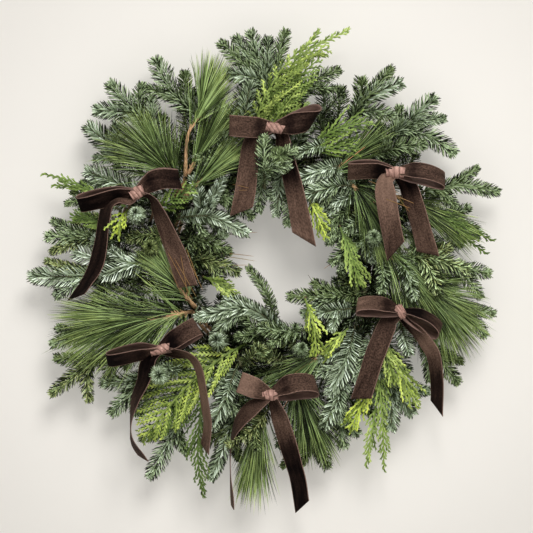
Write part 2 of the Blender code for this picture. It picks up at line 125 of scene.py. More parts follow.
# A fir sprig is its name, the course of its trunk, its half width and tone, then its side shoots. A side
# shoot is the share of the trunk where it leaves, its tip, half width and tone. A tone picks the colour along
# the palette, from silvery blue (0) over green to olive and yellow (1).
Branch = namedtuple("Branch", "share tip half_width tone")
Fir = namedtuple("Fir", "name run half_width tone branches")


def firs(*rows):
    return tuple(Fir(*row[:4], [Branch(*branch) for branch in row[4:]]) for row in rows)


SPRAY_FIRS = firs(
    ("fir_spray_01", ((-88, 166, 26), (-122, 200, 32), (-143, 236, 32)), 17, .37,
     (.1, (-108, 222, 34), 13, .6), (.3, (-152, 204, 28), 12, .5)),
    ("fir_spray_02", ((-140, 150, 26), (-172, 180, 34), (-197, 208, 32)), 16, .35,
     (.25, (-214, 178, 30), 15, .2), (.3, (-160, 207, 32), 13, .45)),
    ("fir_spray_03", ((-170, 112, 26), (-200, 138, 32), (-223, 157, 30)), 17, .15,
     (.2, (-190, 160, 36), 13, .2), (.1, (-215, 120, 28), 12, .3)),
    ("fir_spray_04", ((-176, 22, 26), (-226, 24, 34), (-272, 26, 32)), 14, .45, (.3, (-266, 44, 32), 11, .4),
     (.35, (-268, 8, 32), 10, .8), (.15, (-232, 60, 32), 13, .5)),
    ("fir_spray_05", ((-172, -18, 26), (-236, -22, 34), (-291, -22, 32)), 16, .1,
     (.15, (-274, -4, 32), 10, .85), (.3, (-262, -44, 32), 13, .3), (.1, (-215, -50, 30), 13, .4)),
    ("fir_spray_06", ((-168, -104, 26), (-222, -128, 32), (-268, -162, 30)), 12, .74,
     (.45, (-224, -170, 30), 11, .85), (.3, (-262, -120, 32), 12, .6), (.15, (-200, -150, 32), 12, .7)),
    ("fir_spray_07", ((-142, -124, 26), (-168, -156, 32), (-195, -185, 30)), 14, .35,
     (.2, (-206, -150, 32), 14, .3), (.4, (-168, -186, 32), 12, .4)),
    ("fir_spray_08", ((-98, -164, 26), (-124, -214, 34), (-149, -261, 32)), 14, .3,
     (.3, (-160, -216, 32), 11, .4), (.35, (-108, -232, 32), 11, .5)),
    ("fir_spray_09", ((-38, -166, 26), (-58, -218, 34), (-76, -264, 32)), 12, .15,
     (.25, (-84, -222, 34), 14, .7), (.3, (-44, -240, 30), 11, .6), (.1, (-70, -190, 36), 14, .2)),
    ("fir_spray_10", ((32, -170, 26), (48, -212, 32), (62, -249, 30)), 14, .55, (.3, (34, -246, 30), 10, .7),
     (.2, (10, -250, 28), 9, .7)),
    ("fir_spray_11", ((70, -150, 26), (78, -190, 34), (82, -224, 32)), 15, .4, (.2, (62, -196, 40), 14, .2),
     (.35, (98, -210, 34), 13, .3)),
    ("fir_spray_12", ((118, -124, 26), (142, -156, 32), (164, -185, 30)), 15, .2,
     (.25, (140, -204, 32), 14, .15), (.3, (182, -160, 32), 13, .3), (.1, (112, -176, 34), 14, .3)),
    ("fir_spray_13", ((160, -80, 26), (192, -114, 32), (219, -148, 30)), 13, .6,
     (.3, (224, -124, 30), 11, .7), (.2, (186, -146, 32), 11, .5)),
    ("fir_spray_14", ((164, 48, 26), (206, 44, 36), (243, 31, 34)), 15, .2, (.2, (232, 60, 34), 12, .4),
     (.4, (222, 16, 36), 12, .3)),
    ("fir_spray_15", ((168, 78, 26), (220, 88, 34), (267, 80, 32)), 12, .45, (.35, (243, 108, 32), 10, .5),
     (.2, (216, 64, 34), 12, .5)),
    ("fir_spray_16", ((130, 138, 26), (162, 166, 34), (190, 191, 32)), 16, .3, (.2, (214, 128, 32), 15, .4),
     (.3, (202, 168, 32), 12, .3), (.15, (150, 180, 30), 12, .5)),
    ("fir_spray_17", ((84, 160, 26), (112, 196, 34), (140, 228, 32)), 11, .6, (.3, (104, 212, 34), 17, .6),
     (.35, (150, 210, 32), 15, .15), (.15, (140, 172, 34), 14, .4)),
    ("fir_spray_18", ((6, 170, 26), (-14, 222, 34), (-29, 270, 32)), 14, .35, (.1, (-64, 258, 32), 13, .5),
     (.15, (-46, 264, 30), 13, .35), (.2, (-8, 262, 34), 14, .3), (.05, (13, 272, 28), 12, .5),
     (.3, (-56, 222, 38), 15, .2)),
    ("fir_spray_19", ((96, 112, 30), (64, 108, 58), (28, 93, 56)), 13, .04, (.35, (42, 76, 54), 12, .08),
     (.2, (64, 84, 54), 11, .15)),
    ("fir_spray_20", ((-124, 48, 30), (-78, 50, 58), (-35, 31, 54)), 12.5, .05, (.45, (-60, 28, 50), 10, .3),
     (.2, (-84, 30, 50), 11, .45)),
    ("fir_spray_21", ((-112, 30, 28), (-84, 58, 42), (-62, 95, 48)), 11.5, .03, (.3, (-98, 96, 50), 12, .03),
     (.45, (-70, 74, 46), 9, .2)),
    ("fir_spray_22", ((34, -118, 30), (-26, -62, 56), (-92, -71, 54)), 12.5, .07,
     (.45, (-58, -50, 52), 13, .1), (.3, (-8, -80, 58), 14, .3), (.55, (-72, -92, 50), 12, .25)),
    ("fir_spray_23", ((116, -40, 28), (70, -46, 44), (19, -46, 42)), 13, .6, (.3, (48, -30, 40), 12, .6),
     (.3, (36, -66, 44), 13, .3), (.1, (80, -20, 40), 12, .7)),
    ("fir_spray_24", ((98, -76, 30), (86, -120, 62), (67, -159, 58)), 16, .05,
     (.25, (58, -120, 56), 14, .15), (.35, (100, -146, 54), 14, .2), (.5, (46, -140, 52), 11, .3)),
    ("fir_spray_25", ((138, 0, 28), (186, 0, 58), (229, -14, 58)), 14, .96, (.3, (208, 12, 58), 12, .9),
     (.35, (194, -38, 62), 14, .95)),
    ("fir_spray_26", ((122, 40, 28), (106, 20, 42), (86, -5, 42)), 13, .5, (.3, (118, -2, 46), 12, .2),
     (.15, (90, 30, 42), 12, .4), (.2, (132, 14, 48), 13, .15)),
    ("fir_spray_27", ((-112, -6, 28), (-82, -2, 42), (-46, -16, 42)), 13, .75, (.3, (-56, 8, 38), 12, .7),
     (.35, (-64, -30, 42), 12, .7), (.1, (-90, 22, 44), 13, .6)),
)

# sprigs that fill in between the large sprays
MORE_FIRS = firs(
    ("fir_left_shoulder", ((-150, 70, 30), (-190, 90, 36), (-224, 104, 38)), 16, .1,
     (.5, (-232, 88, 34), 11, .4)),
    ("fir_left_tips", ((-186, 58, 28), (-212, 70, 34), (-243, 80, 32)), 9.5, .68,
     (.4, (-250, 66, 32), 9, .6)),
    ("fir_left_olive", ((-182, 42, 28), (-208, 46, 34), (-238, 44, 32)), 12, .8,
     (.3, (-226, 30, 34), 11, .75)),
    ("fir_left_bluish", ((-168, 2, 30), (-204, -2, 36), (-238, 6, 34)), 17, 0, (.2, (-216, 24, 40), 14, .1)),
    ("fir_under_bow_1", ((-140, 2, 38), (-172, -8, 46), (-206, -20, 46)), 17, 0,
     (.4, (-194, 8, 48), 14, .05)),
    ("fir_beside_bow_1", ((-120, 24, 38), (-148, 28, 48), (-174, 24, 52)), 13, .75,
     (.3, (-160, 2, 52), 12, .7)),
    ("fir_left_low", ((-168, -70, 26), (-220, -88, 32), (-266, -103, 32)), 13, .4,
     (.6, (-260, -84, 32), 12, .4)),
    ("fir_behind_cedar", ((-118, -138, 24), (-146, -154, 30), (-178, -162, 30)), 13, .5,
     (.2, (-164, -186, 28), 13, .45)),
    ("fir_at_bow_6", ((-118, -134, 50), (-121, -132, 76), (-127, -130, 92)), 14, .27),
    ("fir_low_left", ((-44, -124, 34), (-58, -164, 58), (-74, -200, 60)), 16, .15,
     (.3, (-76, -150, 56), 13, .2), (.5, (-42, -186, 54), 13, .4)),
    ("fir_over_tail_5", ((-4, -176, 46), (-28, -206, 64), (-54, -221, 80)), 12, .85,
     (.4, (-22, -226, 66), 11, .7)),
    ("fir_arched_top", ((14, 158, 26), (38, 206, 36), (76, 226, 34)), 12, .55, (.4, (70, 204, 34), 11, .5)),
    ("fir_over_bow_2", ((-12, 84, 56), (-13, 106, 84), (-13, 142, 88)), 13, .42,
     (.35, (22, 128, 88), 14, .42), (.3, (16, 110, 86), 12, .35)),
    ("fir_right_of_bow_2", ((106, 86, 40), (72, 86, 60), (36, 74, 60)), 15, .2, (.4, (54, 62, 54), 12, .5)),
    ("fir_behind_bow_2", ((70, 138, 42), (50, 134, 58), (26, 124, 60)), 12, .2),
    ("fir_low_middle", ((30, -106, 36), (6, -94, 58), (-14, -82, 62)), 12, .95, (.3, (26, -84, 56), 12, .4)),
    ("fir_low_inner", ((-2, -110, 36), (-20, -88, 52), (-38, -66, 56)), 12, .5,
     (.3, (-44, -94, 54), 12, .5)),
    ("fir_bottom_light", ((14, -128, 40), (-4, -118, 60), (-22, -106, 66)), 12, .92),
    ("fir_right_inner", ((126, 8, 38), (130, -16, 54), (128, -38, 60)), 13, .4),
    ("fir_right_middle", ((146, 12, 38), (158, -16, 54), (166, -46, 58)), 13, .3),
    ("fir_low_right", ((96, -60, 38), (76, -62, 56), (54, -66, 60)), 14, .1, (.4, (68, -84, 58), 12, .2)),
    ("fir_under_bow_4", ((146, -66, 40), (154, -90, 56), (160, -112, 62)), 14, .1),
    ("fir_low_mid_right", ((88, -132, 38), (76, -166, 54), (60, -200, 56)), 15, .2,
     (.4, (80, -196, 50), 13, .3)),
    ("fir_hole_sprig", ((2, -90, 30), (-8, -46, 40), (-31, -12, 38)), 9, .55),
    ("fir_hole_twig", ((-30, -96, 30), (-46, -62, 38), (-58, -36, 40)), 9, .6),
    ("fir_tails_4", ((120, -84, 40), (112, -112, 56), (100, -138, 56)), 15, .3,
     (.4, (126, -140, 50), 13, .3)),
    ("fir_left_top", ((-128, 122, 26), (-142, 152, 30), (-150, 192, 30)), 14, .38,
     (.3, (-168, 172, 30), 13, .35)),
    ("fir_low_pale", ((44, -86, 40), (14, -88, 60), (-16, -84, 66)), 14, .4, (.3, (-4, -102, 64), 12, .5)),
    ("fir_low_pale_tip", ((-40, -130, 44), (-30, -120, 66), (-16, -106, 74)), 13, .92),
    ("fir_right_back", ((176, -14, 26), (214, -12, 38), (256, -18, 36)), 13, .5,
     (.4, (246, -44, 36), 12, .45)),
    ("fir_right_end", ((176, -40, 26), (226, -62, 34), (252, -92, 34)), 12, .4,
     (.4, (262, -66, 34), 11, .4)),
    ("fir_between_tails_3", ((142, 36, 34), (170, 26, 46), (198, 14, 48)), 14, .6,
     (.4, (166, 0, 48), 12, .5)),
    ("fir_above_bow_3", ((110, 120, 34), (142, 132, 50), (176, 136, 50)), 14, .45,
     (.3, (126, 158, 46), 13, .5)),
    ("fir_top_left", ((-40, 132, 34), (-36, 170, 46), (-30, 208, 46)), 15, .25,
     (.3, (-64, 178, 46), 14, .3)),
    ("fir_hole_top_left", ((-10, 128, 30), (-14, 98, 44), (-20, 58, 46)), 12, .35,
     (.3, (-34, 76, 44), 11, .3)),
    ("fir_hole_top", ((10, 126, 30), (8, 98, 44), (2, 54, 44)), 12, .15, (.4, (-6, 74, 46), 11, .3)),
    ("fir_hole_top_right", ((26, 122, 34), (22, 92, 48), (16, 42, 48)), 12, .4, (.4, (30, 56, 46), 11, .2)),
    ("fir_hole_right", ((96, 62, 34), (76, 50, 46), (56, 36, 48)), 13, .45, (.4, (66, 20, 46), 12, .5)),
    ("fir_hole_low_right", ((108, 30, 34), (88, 14, 44), (70, -4, 46)), 13, .4,
     (.4, (80, -14, 46), 12, .45)),
    ("fir_inner_right", ((112, 82, 34), (84, 72, 48), (48, 62, 48)), 12.5, .08, (.4, (64, 54, 48), 11, .15)),
    ("fir_inner_right_low", ((112, 54, 34), (92, 40, 46), (64, 22, 46)), 12, .35,
     (.4, (80, 18, 48), 11, .5)),
    ("fir_hole_corner", ((-84, 92, 30), (-58, 72, 42), (-28, 50, 44)), 11.5, .5,
     (.3, (-48, 54, 42), 11, .5)),
    ("fir_hole_left", ((-112, 24, 34), (-84, 20, 44), (-58, 10, 46)), 13, .6, (.4, (-64, 28, 46), 12, .5)),
    ("fir_gap_bow_2", ((24, 118, 30), (26, 138, 40), (40, 158, 42)), 13, .35, (.3, (8, 150, 42), 12, .3)),
    ("fir_gap_top_left", ((-70, 96, 30), (-74, 116, 40), (-66, 138, 42)), 13, .4,
     (.3, (-92, 120, 42), 12, .35)),
    ("fir_top_inner", ((-30, 118, 36), (-62, 118, 52), (-88, 120, 52)), 14, .5,
     (.4, (-60, 148, 50), 13, .4)),
)

# shoots that point at the viewer, seen as round rosettes
Rosette = namedtuple("Rosette", "name run half_width tone")
ROSETTES = (
    Rosette("fir_rosette_bow_1", ((-160, 42, 50), (-166, 54, 84)), 13, .1),
    Rosette("fir_rosette_bow_2", ((-12, 116, 66), (9, 123, 94)), 14, .6),
    Rosette("fir_rosette_bow_6", ((-135, -136, 52), (-138, -139, 88)), 15, .2),
    Rosette("fir_rosette_left", ((-146, 8, 44), (-150, 14, 70)), 12, .75),
    Rosette("fir_rosette_low_left", ((-60, -106, 40), (-70, -97, 72)), 14, .1),
    Rosette("fir_rosette_bottom", ((-2, -126, 42), (-18, -110, 74)), 12, .95),
    Rosette("fir_rosette_bottom_right", ((24, -122, 40), (33, -106, 70)), 11, .3),
    Rosette("fir_rosette_right", ((120, 20, 40), (118, 26, 70)), 12, .3),
)

# a tuft of needles: its twig's course, how many needles and how long, the share of the twig that is bare,
# how far the needles open (least and most degrees), their tone and droop, and how far forward they may come
Pine = namedtuple("Pine", "name run needles length bare opening tone droop ceiling", defaults=(60,))
SPRAY_PINES = (
    Pine("pine_spray_01", ((-108, 90, 34), (-107, 112, 46), (-104, 148, 56), (-92, 168, 56), (-88, 182, 54)),
         270, 72, .62, (3, 22), .44, .05),
    Pine("pine_spray_02", ((-112, 84, 32), (-122, 100, 46), (-138, 116, 52)), 330, 88, .1, (4, 48), .5, .1),
    Pine("pine_spray_03", ((-100, -64, 30), (-118, -68, 52), (-150, -74, 58), (-186, -74, 56)), 720, 90, 0,
         (8, 54), .44, .12),
    Pine("pine_spray_04", ((-14, -150, 30), (-18, -184, 50), (-22, -214, 52)), 330, 86, .2, (3, 26), .5,
         .05),
    Pine("pine_spray_05", ((70, -106, 34), (52, -118, 60), (34, -130, 66)), 190, 72, 0, (4, 34), .68, .12),
    Pine("pine_spray_06", ((148, -22, 32), (170, -34, 50), (194, -52, 50)), 660, 74, 0, (8, 64), .56, .18),
    Pine("pine_spray_07", ((140, 76, 32), (156, 70, 54), (178, 58, 58)), 250, 82, 0, (3, 20), .45, .06),
    Pine("pine_spray_08", ((88, 92, 34), (98, 82, 60), (110, 64, 64)), 230, 76, 0, (5, 30), .6, .15),
)
MORE_PINES = (
    Pine("pine_beside_bow_2", ((-106, 76, 38), (-92, 90, 54), (-74, 106, 60)), 210, 68, .1, (3, 30), .52,
         .06, 72),
    Pine("pine_up_right", ((-108, 92, 36), (-98, 112, 50), (-84, 134, 52)), 190, 80, .2, (3, 30), .45, .05),
    Pine("pine_over_tail_1", ((-96, -58, 42), (-108, -44, 66), (-124, -22, 80)), 190, 66, .1, (5, 38), .55,
         .05, 62),
    Pine("pine_bottom_right", ((22, -136, 38), (28, -158, 52), (36, -178, 52)), 230, 74, .1, (4, 34), .6,
         .1),
    Pine("pine_right_hanging", ((124, 18, 38), (134, 6, 52), (146, -4, 56)), 180, 76, 0, (6, 40), .6, .35),
    Pine("pine_under_bow_2", ((56, 96, 40), (76, 108, 52), (96, 126, 54)), 160, 66, .1, (4, 26), .68, .04),
)

# loose dry needles and thin twigs, each lying from its base to its tip
DRY_NEEDLES = (
    ((-98, -50, 66), (-128, 12, 92)), ((-94, -46, 66), (-120, 4, 92)), ((-104, -44, 68), (-112, 8, 92)),
    ((-90, -30, 72), (-106, 16, 88)), ((-112, -42, 68), (-126, -8, 92)), ((-86, -38, 70), (-102, -2, 90)),
    ((140, 80, 80), (160, 56, 86)), ((138, 76, 80), (166, 66, 86)), ((132, 70, 84), (162, 60, 86)),
    ((112, 92, 70), (150, 78, 88)), ((-58, 28, 44), (-20, 33, 46)), ((-64, 6, 44), (-24, 4, 44)),
    ((-76, -10, 44), (-30, -6, 44)), ((-60, 2, 44), (-22, -2, 44)), ((84, 4, 44), (58, -12, 44)),
    ((40, -20, 42), (52, -38, 44)), ((-50, 88, 68), (-30, 84, 78)), ((-50, 80, 66), (-32, 82, 78)),
)

# A flat cedar frond is its stem's course, the half width of its widest part, its tone from deep (0) to bright
# (1), and how much of that width it has on its left and its right. A cedar sprig is its name and its fronds.
Frond = namedtuple("Frond", "run half_width tone left right", defaults=(1.0, 1.0))
Cedar = namedtuple("Cedar", "name fronds")
SPRAY_CEDARS = (
    Cedar("cedar_spray_01", (
        Frond(((-20, 138, 32), (-20, 172, 52), (0, 214, 56), (22, 242, 54), (40, 252, 52)), 38, .8, .35, 1),
        Frond(((-18, 144, 40), (4, 170, 58), (28, 204, 60)), 18, .74, .5, 1),
        Frond(((-12, 144, 44), (14, 162, 60), (44, 184, 58)), 13, .68),
        Frond(((8, 206, 56), (28, 240, 56), (66, 252, 52)), 22, .8, .5, 1),
        Frond(((26, 246, 54), (42, 258, 52), (55, 276, 46)), 7, .75),
        Frond(((40, 250, 54), (66, 263, 50), (92, 276, 44)), 7, .75),
        Frond(((-22, 140, 30), (-14, 172, 46), (10, 210, 50), (36, 236, 48)), 32, .58, .5, 1),
        Frond(((-16, 142, 34), (-2, 176, 52), (20, 208, 54), (54, 240, 52)), 28, .68, .8, 1))),
    Cedar("cedar_spray_02", (
        Frond(((-30, -100, 36), (-62, -118, 54), (-100, -148, 61), (-134, -186, 60), (-160, -219, 52)), 38,
              .86),
        Frond(((-34, -104, 30), (-66, -124, 45), (-104, -156, 52), (-136, -190, 51), (-154, -212, 47)), 36,
              .4))),
    Cedar("cedar_spray_03", (
        Frond(((-84, -146, 32), (-90, -196, 52), (-92, -240, 50), (-86, -289, 46)), 15, .25),)),
    Cedar("cedar_spray_04", (
        Frond(((120, -104, 36), (126, -160, 54), (130, -210, 50), (131, -256, 46)), 11, .72),
        Frond(((122, -170, 52), (116, -212, 48), (109, -252, 44)), 9, .72),
        Frond(((118, -146, 58), (104, -176, 58), (88, -206, 54)), 13, .95))),
)
MORE_CEDARS = (
    Cedar("cedar_right_of_bow_2", (
        Frond(((44, 136, 46), (70, 152, 58), (114, 164, 56)), 16, .55),
        Frond(((40, 128, 46), (66, 132, 58), (102, 140, 56)), 14, .6))),
    Cedar("cedar_left_tip", (
        Frond(((-180, 62, 34), (-214, 78, 40), (-250, 94, 40), (-281, 102, 36)), 8, .6),
        Frond(((-222, 82, 40), (-246, 86, 38), (-270, 88, 34)), 6, .6))),
    Cedar("cedar_under_bow_1", (
        Frond(((-176, 58, 62), (-184, 46, 78), (-188, 28, 78)), 14, .95),)),
    Cedar("cedar_beside_bow_1", (
        Frond(((-146, 56, 56), (-128, 66, 70), (-94, 86, 70)), 17, .55),)),
    Cedar("cedar_left_low", (
        Frond(((-186, 36, 38), (-214, 44, 48), (-246, 52, 46)), 13, .4),)),
    Cedar("cedar_right_green", (
        Frond(((170, 62, 50), (214, 44, 58), (264, 20, 50)), 9, .35),
        Frond(((196, 50, 54), (226, 26, 56), (256, 4, 48)), 8, .3))),
    Cedar("cedar_tail_2", (
        Frond(((38, 76, 56), (50, 52, 64), (62, 24, 60)), 13, .95),)),
    Cedar("cedar_inner_right", (
        Frond(((78, 38, 54), (90, 4, 62), (103, -34, 60)), 15, .7),)),
    Cedar("cedar_low_bright", (
        Frond(((36, -48, 54), (46, -80, 64), (50, -116, 62)), 14, .9),
        Frond(((88, -84, 56), (74, -96, 64), (58, -116, 62)), 13, .9))),
    Cedar("cedar_between_tails_4", (
        Frond(((124, -96, 56), (136, -126, 64), (142, -152, 60)), 13, .78),
        Frond(((132, -100, 56), (150, -134, 62), (172, -182, 56)), 15, .84))),
    Cedar("cedar_inner_left", (
        Frond(((-86, -22, 44), (-64, -32, 52), (-44, -44, 50)), 12, .8),)),
)

# ---------------------------------------------------------------- geometry in numpy

HEADING_REACH = 0.02
LEAST_LENGTH = 1e-9


def unit(vectors):
    return vectors / np.maximum(np.linalg.norm(vectors, axis=-1, keepdims=True), LEAST_LENGTH)


def dot(a, b):
    return np.sum(a * b, -1, keepdims=True)


def seeded(name):
    return np.random.default_rng(zlib.crc32(name.encode()))


def smooth_run(places, steps=8):
    """Points on a smooth curve through the places."""
    places = np.asarray(places, float)
    ends = np.vstack((2 * places[0] - places[1], places, 2 * places[-1] - places[-2]))
    run = []
    for before, start, end, after in zip(ends, ends[1:], ends[2:], ends[3:]):
        for step in range(steps):
            way = step / steps
            pull = (end - before) * way + (2 * before - 5 * start + 4 * end - after) * way ** 2
            run.append(start + (pull + (3 * start - before - 3 * end + after) * way ** 3) / 2)
    run.append(places[-1])
    return np.array(run)


class Line:
    """A run of points that can be read at one distance along it, or at many."""

    def __init__(self, points):
        self.points = np.asarray(points, float)
        steps = np.linalg.norm(np.diff(self.points, axis=0), axis=1)
        self.distance = np.concatenate(((0.0,), np.cumsum(steps)))
        self.length = self.distance[-1]

    def at(self, distance):
        return np.stack([np.interp(distance, self.distance, self.points[:, axis]) for axis in range(3)], -1)

    def heading(self, distance):
        reach = HEADING_REACH * self.length
        ahead = self.at(np.minimum(distance + reach, self.length))
        return unit(ahead - self.at(np.maximum(distance - reach, 0.0)))


def frames(heading, facing):
    """Side and up for each heading, where up is as near to facing as it gets."""
    side = unit(np.cross(np.broadcast_to(facing, heading.shape), heading))
    return side, np.cross(heading, side)


def splayed(heading, side, up, angle, lean, rise=1.0):
    """Directions that lean off each heading, and the way each one leans, which is at an angle from up."""
    away = np.cos(angle)[:, None] * up * rise + np.sin(angle)[:, None] * side
    return unit(np.cos(lean)[:, None] * heading + np.sin(lean)[:, None] * away), away


class Growth:
    """The corners, faces, texture places and material slots of one piece, gathered bit by bit."""

    def __init__(self):
        self.parts = []
        self.total = 0

    def add(self, points, faces, places, slot):
        self.parts.append((points, faces + self.total, places, np.full(len(faces), slot, np.int32)))
        self.total += len(points)

    def gathered(self):
        return [np.concatenate(arrays) for arrays in zip(*self.parts)]


# ---------------------------------------------------------------- leaves and twigs

LEAF = 0
BARK = 1
LEAST_FORWARD = 2.0
FREE_FORWARD = 80.0
FORWARD_ROOM = 17.0
TEXTURE_COLUMNS = 64
BARK_COLUMNS = 4
TONES = 15
SHADES = 4
GOLDEN = 0.6180339887
ACROSS = (.08, .5, .92)
RIDGE = .22
TWIG_FACING = np.array((.13, .21, .97))

# the shapes of the ribbons made so far, which leaves stay clear of, and the most faces that a leaf has
RIBBONS = []
LARGEST_LEAF = 20

# how wide a leaf is at places along it, as (place, share of its width)
CURVED_ROWS = ((0, .5), (.3, 1), (.84, .88))
PLAIN_ROWS = ((0, .55), (.82, .92))
PINE_ROWS = ((0, .7), (.3, 1), (.62, .95), (.88, .65))


def kept_forward(forward, free):
    """Forward places eased so that none is behind the wall or much further out than is free."""
    over = np.maximum(forward - free, 0.0)
    eased = free + FORWARD_ROOM * (1 - np.exp(-over / FORWARD_ROOM))
    return np.maximum(np.where(over > 0, eased, forward), LEAST_FORWARD)


def leaf_numbers(faces, total):
    """Which leaf each face belongs to, named by the lowest corner number in it."""
    lowest = np.arange(total)
    while True:
        before = lowest.copy()
        np.minimum.at(lowest, faces.ravel(), np.repeat(lowest[faces].min(1), 3))
        if np.array_equal(lowest, before):
            return lowest[faces[:, 0]]


def clear_of_ribbons(points, faces):
    """Which faces stay once each leaf that would run through a ribbon is taken away. Twigs all stay."""
    shape = BVHTree.FromPolygons(world(points).tolist(), faces.tolist(), all_triangles=True)
    struck = [pair[0] for ribbon in RIBBONS for pair in shape.overlap(ribbon)]
    if not struck:
        return np.ones(len(faces), bool)
    leaf = leaf_numbers(faces, len(points))
    size = np.bincount(leaf, minlength=len(points))
    lost = np.unique(leaf[struck])
    return ~np.isin(leaf, lost[size[lost] <= LARGEST_LEAF])


def make_piece(name, growth, materials, node=None, free=FREE_FORWARD, cleared=True):
    """A piece from what has grown, riding on the root. One that stands for a node replaces it."""
    points, faces, places, slots = growth.gathered()
    points[:, 2] = kept_forward(points[:, 2], free)
    if cleared:
        stays = clear_of_ribbons(points, faces)
        used, corners = np.unique(faces[stays], return_inverse=True)
        faces = corners.reshape(-1, 3)
        points, places, slots = points[used], places[used], slots[stays]
    piece = add_mesh(name, points, faces, slots, {"OFBake": places}, materials)
    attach(piece, "root")
    if node:
        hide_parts(node)


def columns_for(rng, count, tone, spread, light, scatter=.2):
    """A texture column for each leaf: near the tone's place in the palette, and as light as given, 0 to 1."""
    tones = np.round(np.clip(tone + rng.normal(0, spread, count), 0, 1) * (TONES - 1))
    shades = np.round(np.clip(light + rng.normal(0, scatter, count), 0, 1) * (SHADES - 1))
    return tones * SHADES + shades


def add_blades(growth, base, heading, face, length, width, bend, column, rows=CURVED_ROWS, flat=False,
               slot=LEAF):
    """Narrow leaves, from arrays of where each starts, its heading, its face, its sizes and its bend.

    A leaf has a raised middle unless it is flat. column is its texture column."""
    count = len(base)
    face = unit(face - heading * dot(face, heading))
    side = np.cross(heading, face)
    points = []
    places = []
    across = ACROSS[::2] if flat else ACROSS
    palette = (column / TEXTURE_COLUMNS)[:, None]
    for way, share in rows:
        middle = base + heading * (length * way)[:, None] + bend * (way ** 2)
        half = side * (width * share / 2)[:, None]
        ridge = [] if flat else [middle + face * (width * RIDGE * share)[:, None]]
        points += [middle - half, *ridge, middle + half]
        for place in across:
            places.append(np.hstack((palette + place / TEXTURE_COLUMNS, np.full((count, 1), way))))
    points.append(base + heading * length[:, None] + bend)
    places.append(np.hstack((palette + .5 / TEXTURE_COLUMNS, np.ones((count, 1)))))
    wide = len(across)
    tip = len(points) - 1
    corners = []
    for left in range(tip - wide):
        if left % wide < wide - 1:
            corners += [(left, left + 1, left + wide + 1), (left, left + wide + 1, left + wide)]
    corners += [(left, left + 1, tip) for left in range(tip - wide, tip - 1)]
    faces = np.arange(count)[:, None, None] * len(points) + np.array(corners)[None]
    points = np.stack(points, 1).reshape(-1, 3)
    growth.add(points, faces.reshape(-1, 3), np.stack(places, 1).reshape(-1, 2), slot)


def add_twig(growth, line, start_radius, end_radius, sides, rings, rough=0.0, rng=None):
    """A tapering round twig along the line, closed at both ends."""
    way = np.linspace(0, 1, rings)
    distance = way * line.length
    heading = line.heading(distance)
    side, up = frames(heading, TWIG_FACING)
    radius = start_radius + (end_radius - start_radius) * way
    if rough:
        radius = radius * (1 + rough * (rng.random(rings) - .5))
    turn = np.arange(sides) * math.tau / sides
    circle = np.cos(turn)[None, :, None] * side[:, None] + np.sin(turn)[None, :, None] * up[:, None]
    points = (line.at(distance)[:, None] + circle * radius[:, None, None]).reshape(-1, 3)
    first = (TEXTURE_COLUMNS - BARK_COLUMNS + .2) / TEXTURE_COLUMNS
    spread = (BARK_COLUMNS - .4) / TEXTURE_COLUMNS
    around = first + spread * np.abs(np.arange(sides) / sides * 2 - 1)
    places = np.stack((np.tile(around, rings), np.repeat(way, sides)), -1)
    faces = []
    for ring in range(rings - 1):
        for corner in range(sides):
            a, b = ring * sides + corner, ring * sides + (corner + 1) % sides
            faces += [(a, b, b + sides), (a, b + sides, a + sides)]
    last = (rings - 1) * sides
    for corner in range(1, sides - 1):
        faces += [(0, corner + 1, corner), (last, last + corner, last + corner + 1)]
    growth.add(points, np.array(faces), places, BARK)


# ---------------------------------------------------------------- fir

# how many needles a shoot has to a millimetre, at the usual half width and at others, and its twig's radii
FIR_DENSITY = 4.1
USUAL_WIDTH = 13.5
WIDTH_POWER = .8
FEWEST_NEEDLES = 12
FIR_TWIG = (1.6, 1.0)
FIR_SIDES = 5
RING_STEP = 9

# a needle's size: its width, its length to the shoot's half width, how much shorter it is over the twig and
# where the needles start, how the shoot narrows to its rounded tip, and how far a needle curls up
FIR_NEEDLE_WIDTH = 1.05
NEEDLE_REACH = 1.12
OVER_SHORT = .25
START_SHORT = .2
START_RUN = 12
TIP_RUN = 9.0
TAPER_RUN = 36.0
TIP_WIDTH = .64
CURL_RISE = .5
CURL = (.20, .34)
FACE_LEAN = .35
FACE_SCATTER = .3

# how far round from the top of the twig a needle stands, in degrees: on a loose shoot by share of needles,
# and on a silvery one in neat rows, each with its lightness: the lower rows are painted dark, a painted shade
# in the gaps between the upper ones. A neat shoot has fewer, wider needles.
LOOSE_SHARES = (0, .24, .46, .86, 1)
LOOSE_DEGREES = (0, 26, 60, 98, 140)
NEAT_TONE = .28
NEAT_DEGREES = (22, 62, 88, 116)
NEAT_LIGHT = (.70, .76, .36, .0)
NEAT_ORDER = .8
NEAT_THINNER = .36
NEAT_WIDER = .42

# how light a needle is painted: lit on top of the twig, with painted shade that darkens it round to its shaded
# side
TOP_LIGHT = .72
SHADE_FROM = 50
SHADE_RANGE = 60
TONE_SPREAD = .06
LIGHT_SCATTER = .34

# how a needle leans towards the twig's tip, in degrees: at the side, and less so over the top
SIDE_LEAN = 66
OVER_LEAN = 24
OVER_RANGE = 60
LEAN_SCATTER = 6
BUD_LEAN = .62

# how shoots are made: the bare share of the twig, needles to a millimetre, how much painted shade darkens them,
# and their leaves
Style = namedtuple("Style", "bare density dim rows flat")
SPRAY_STYLE = Style(.12, FIR_DENSITY, 0.0, CURVED_ROWS, False)
FILLER_STYLE = Style(.12, FIR_DENSITY, 0.0, PLAIN_ROWS, False)


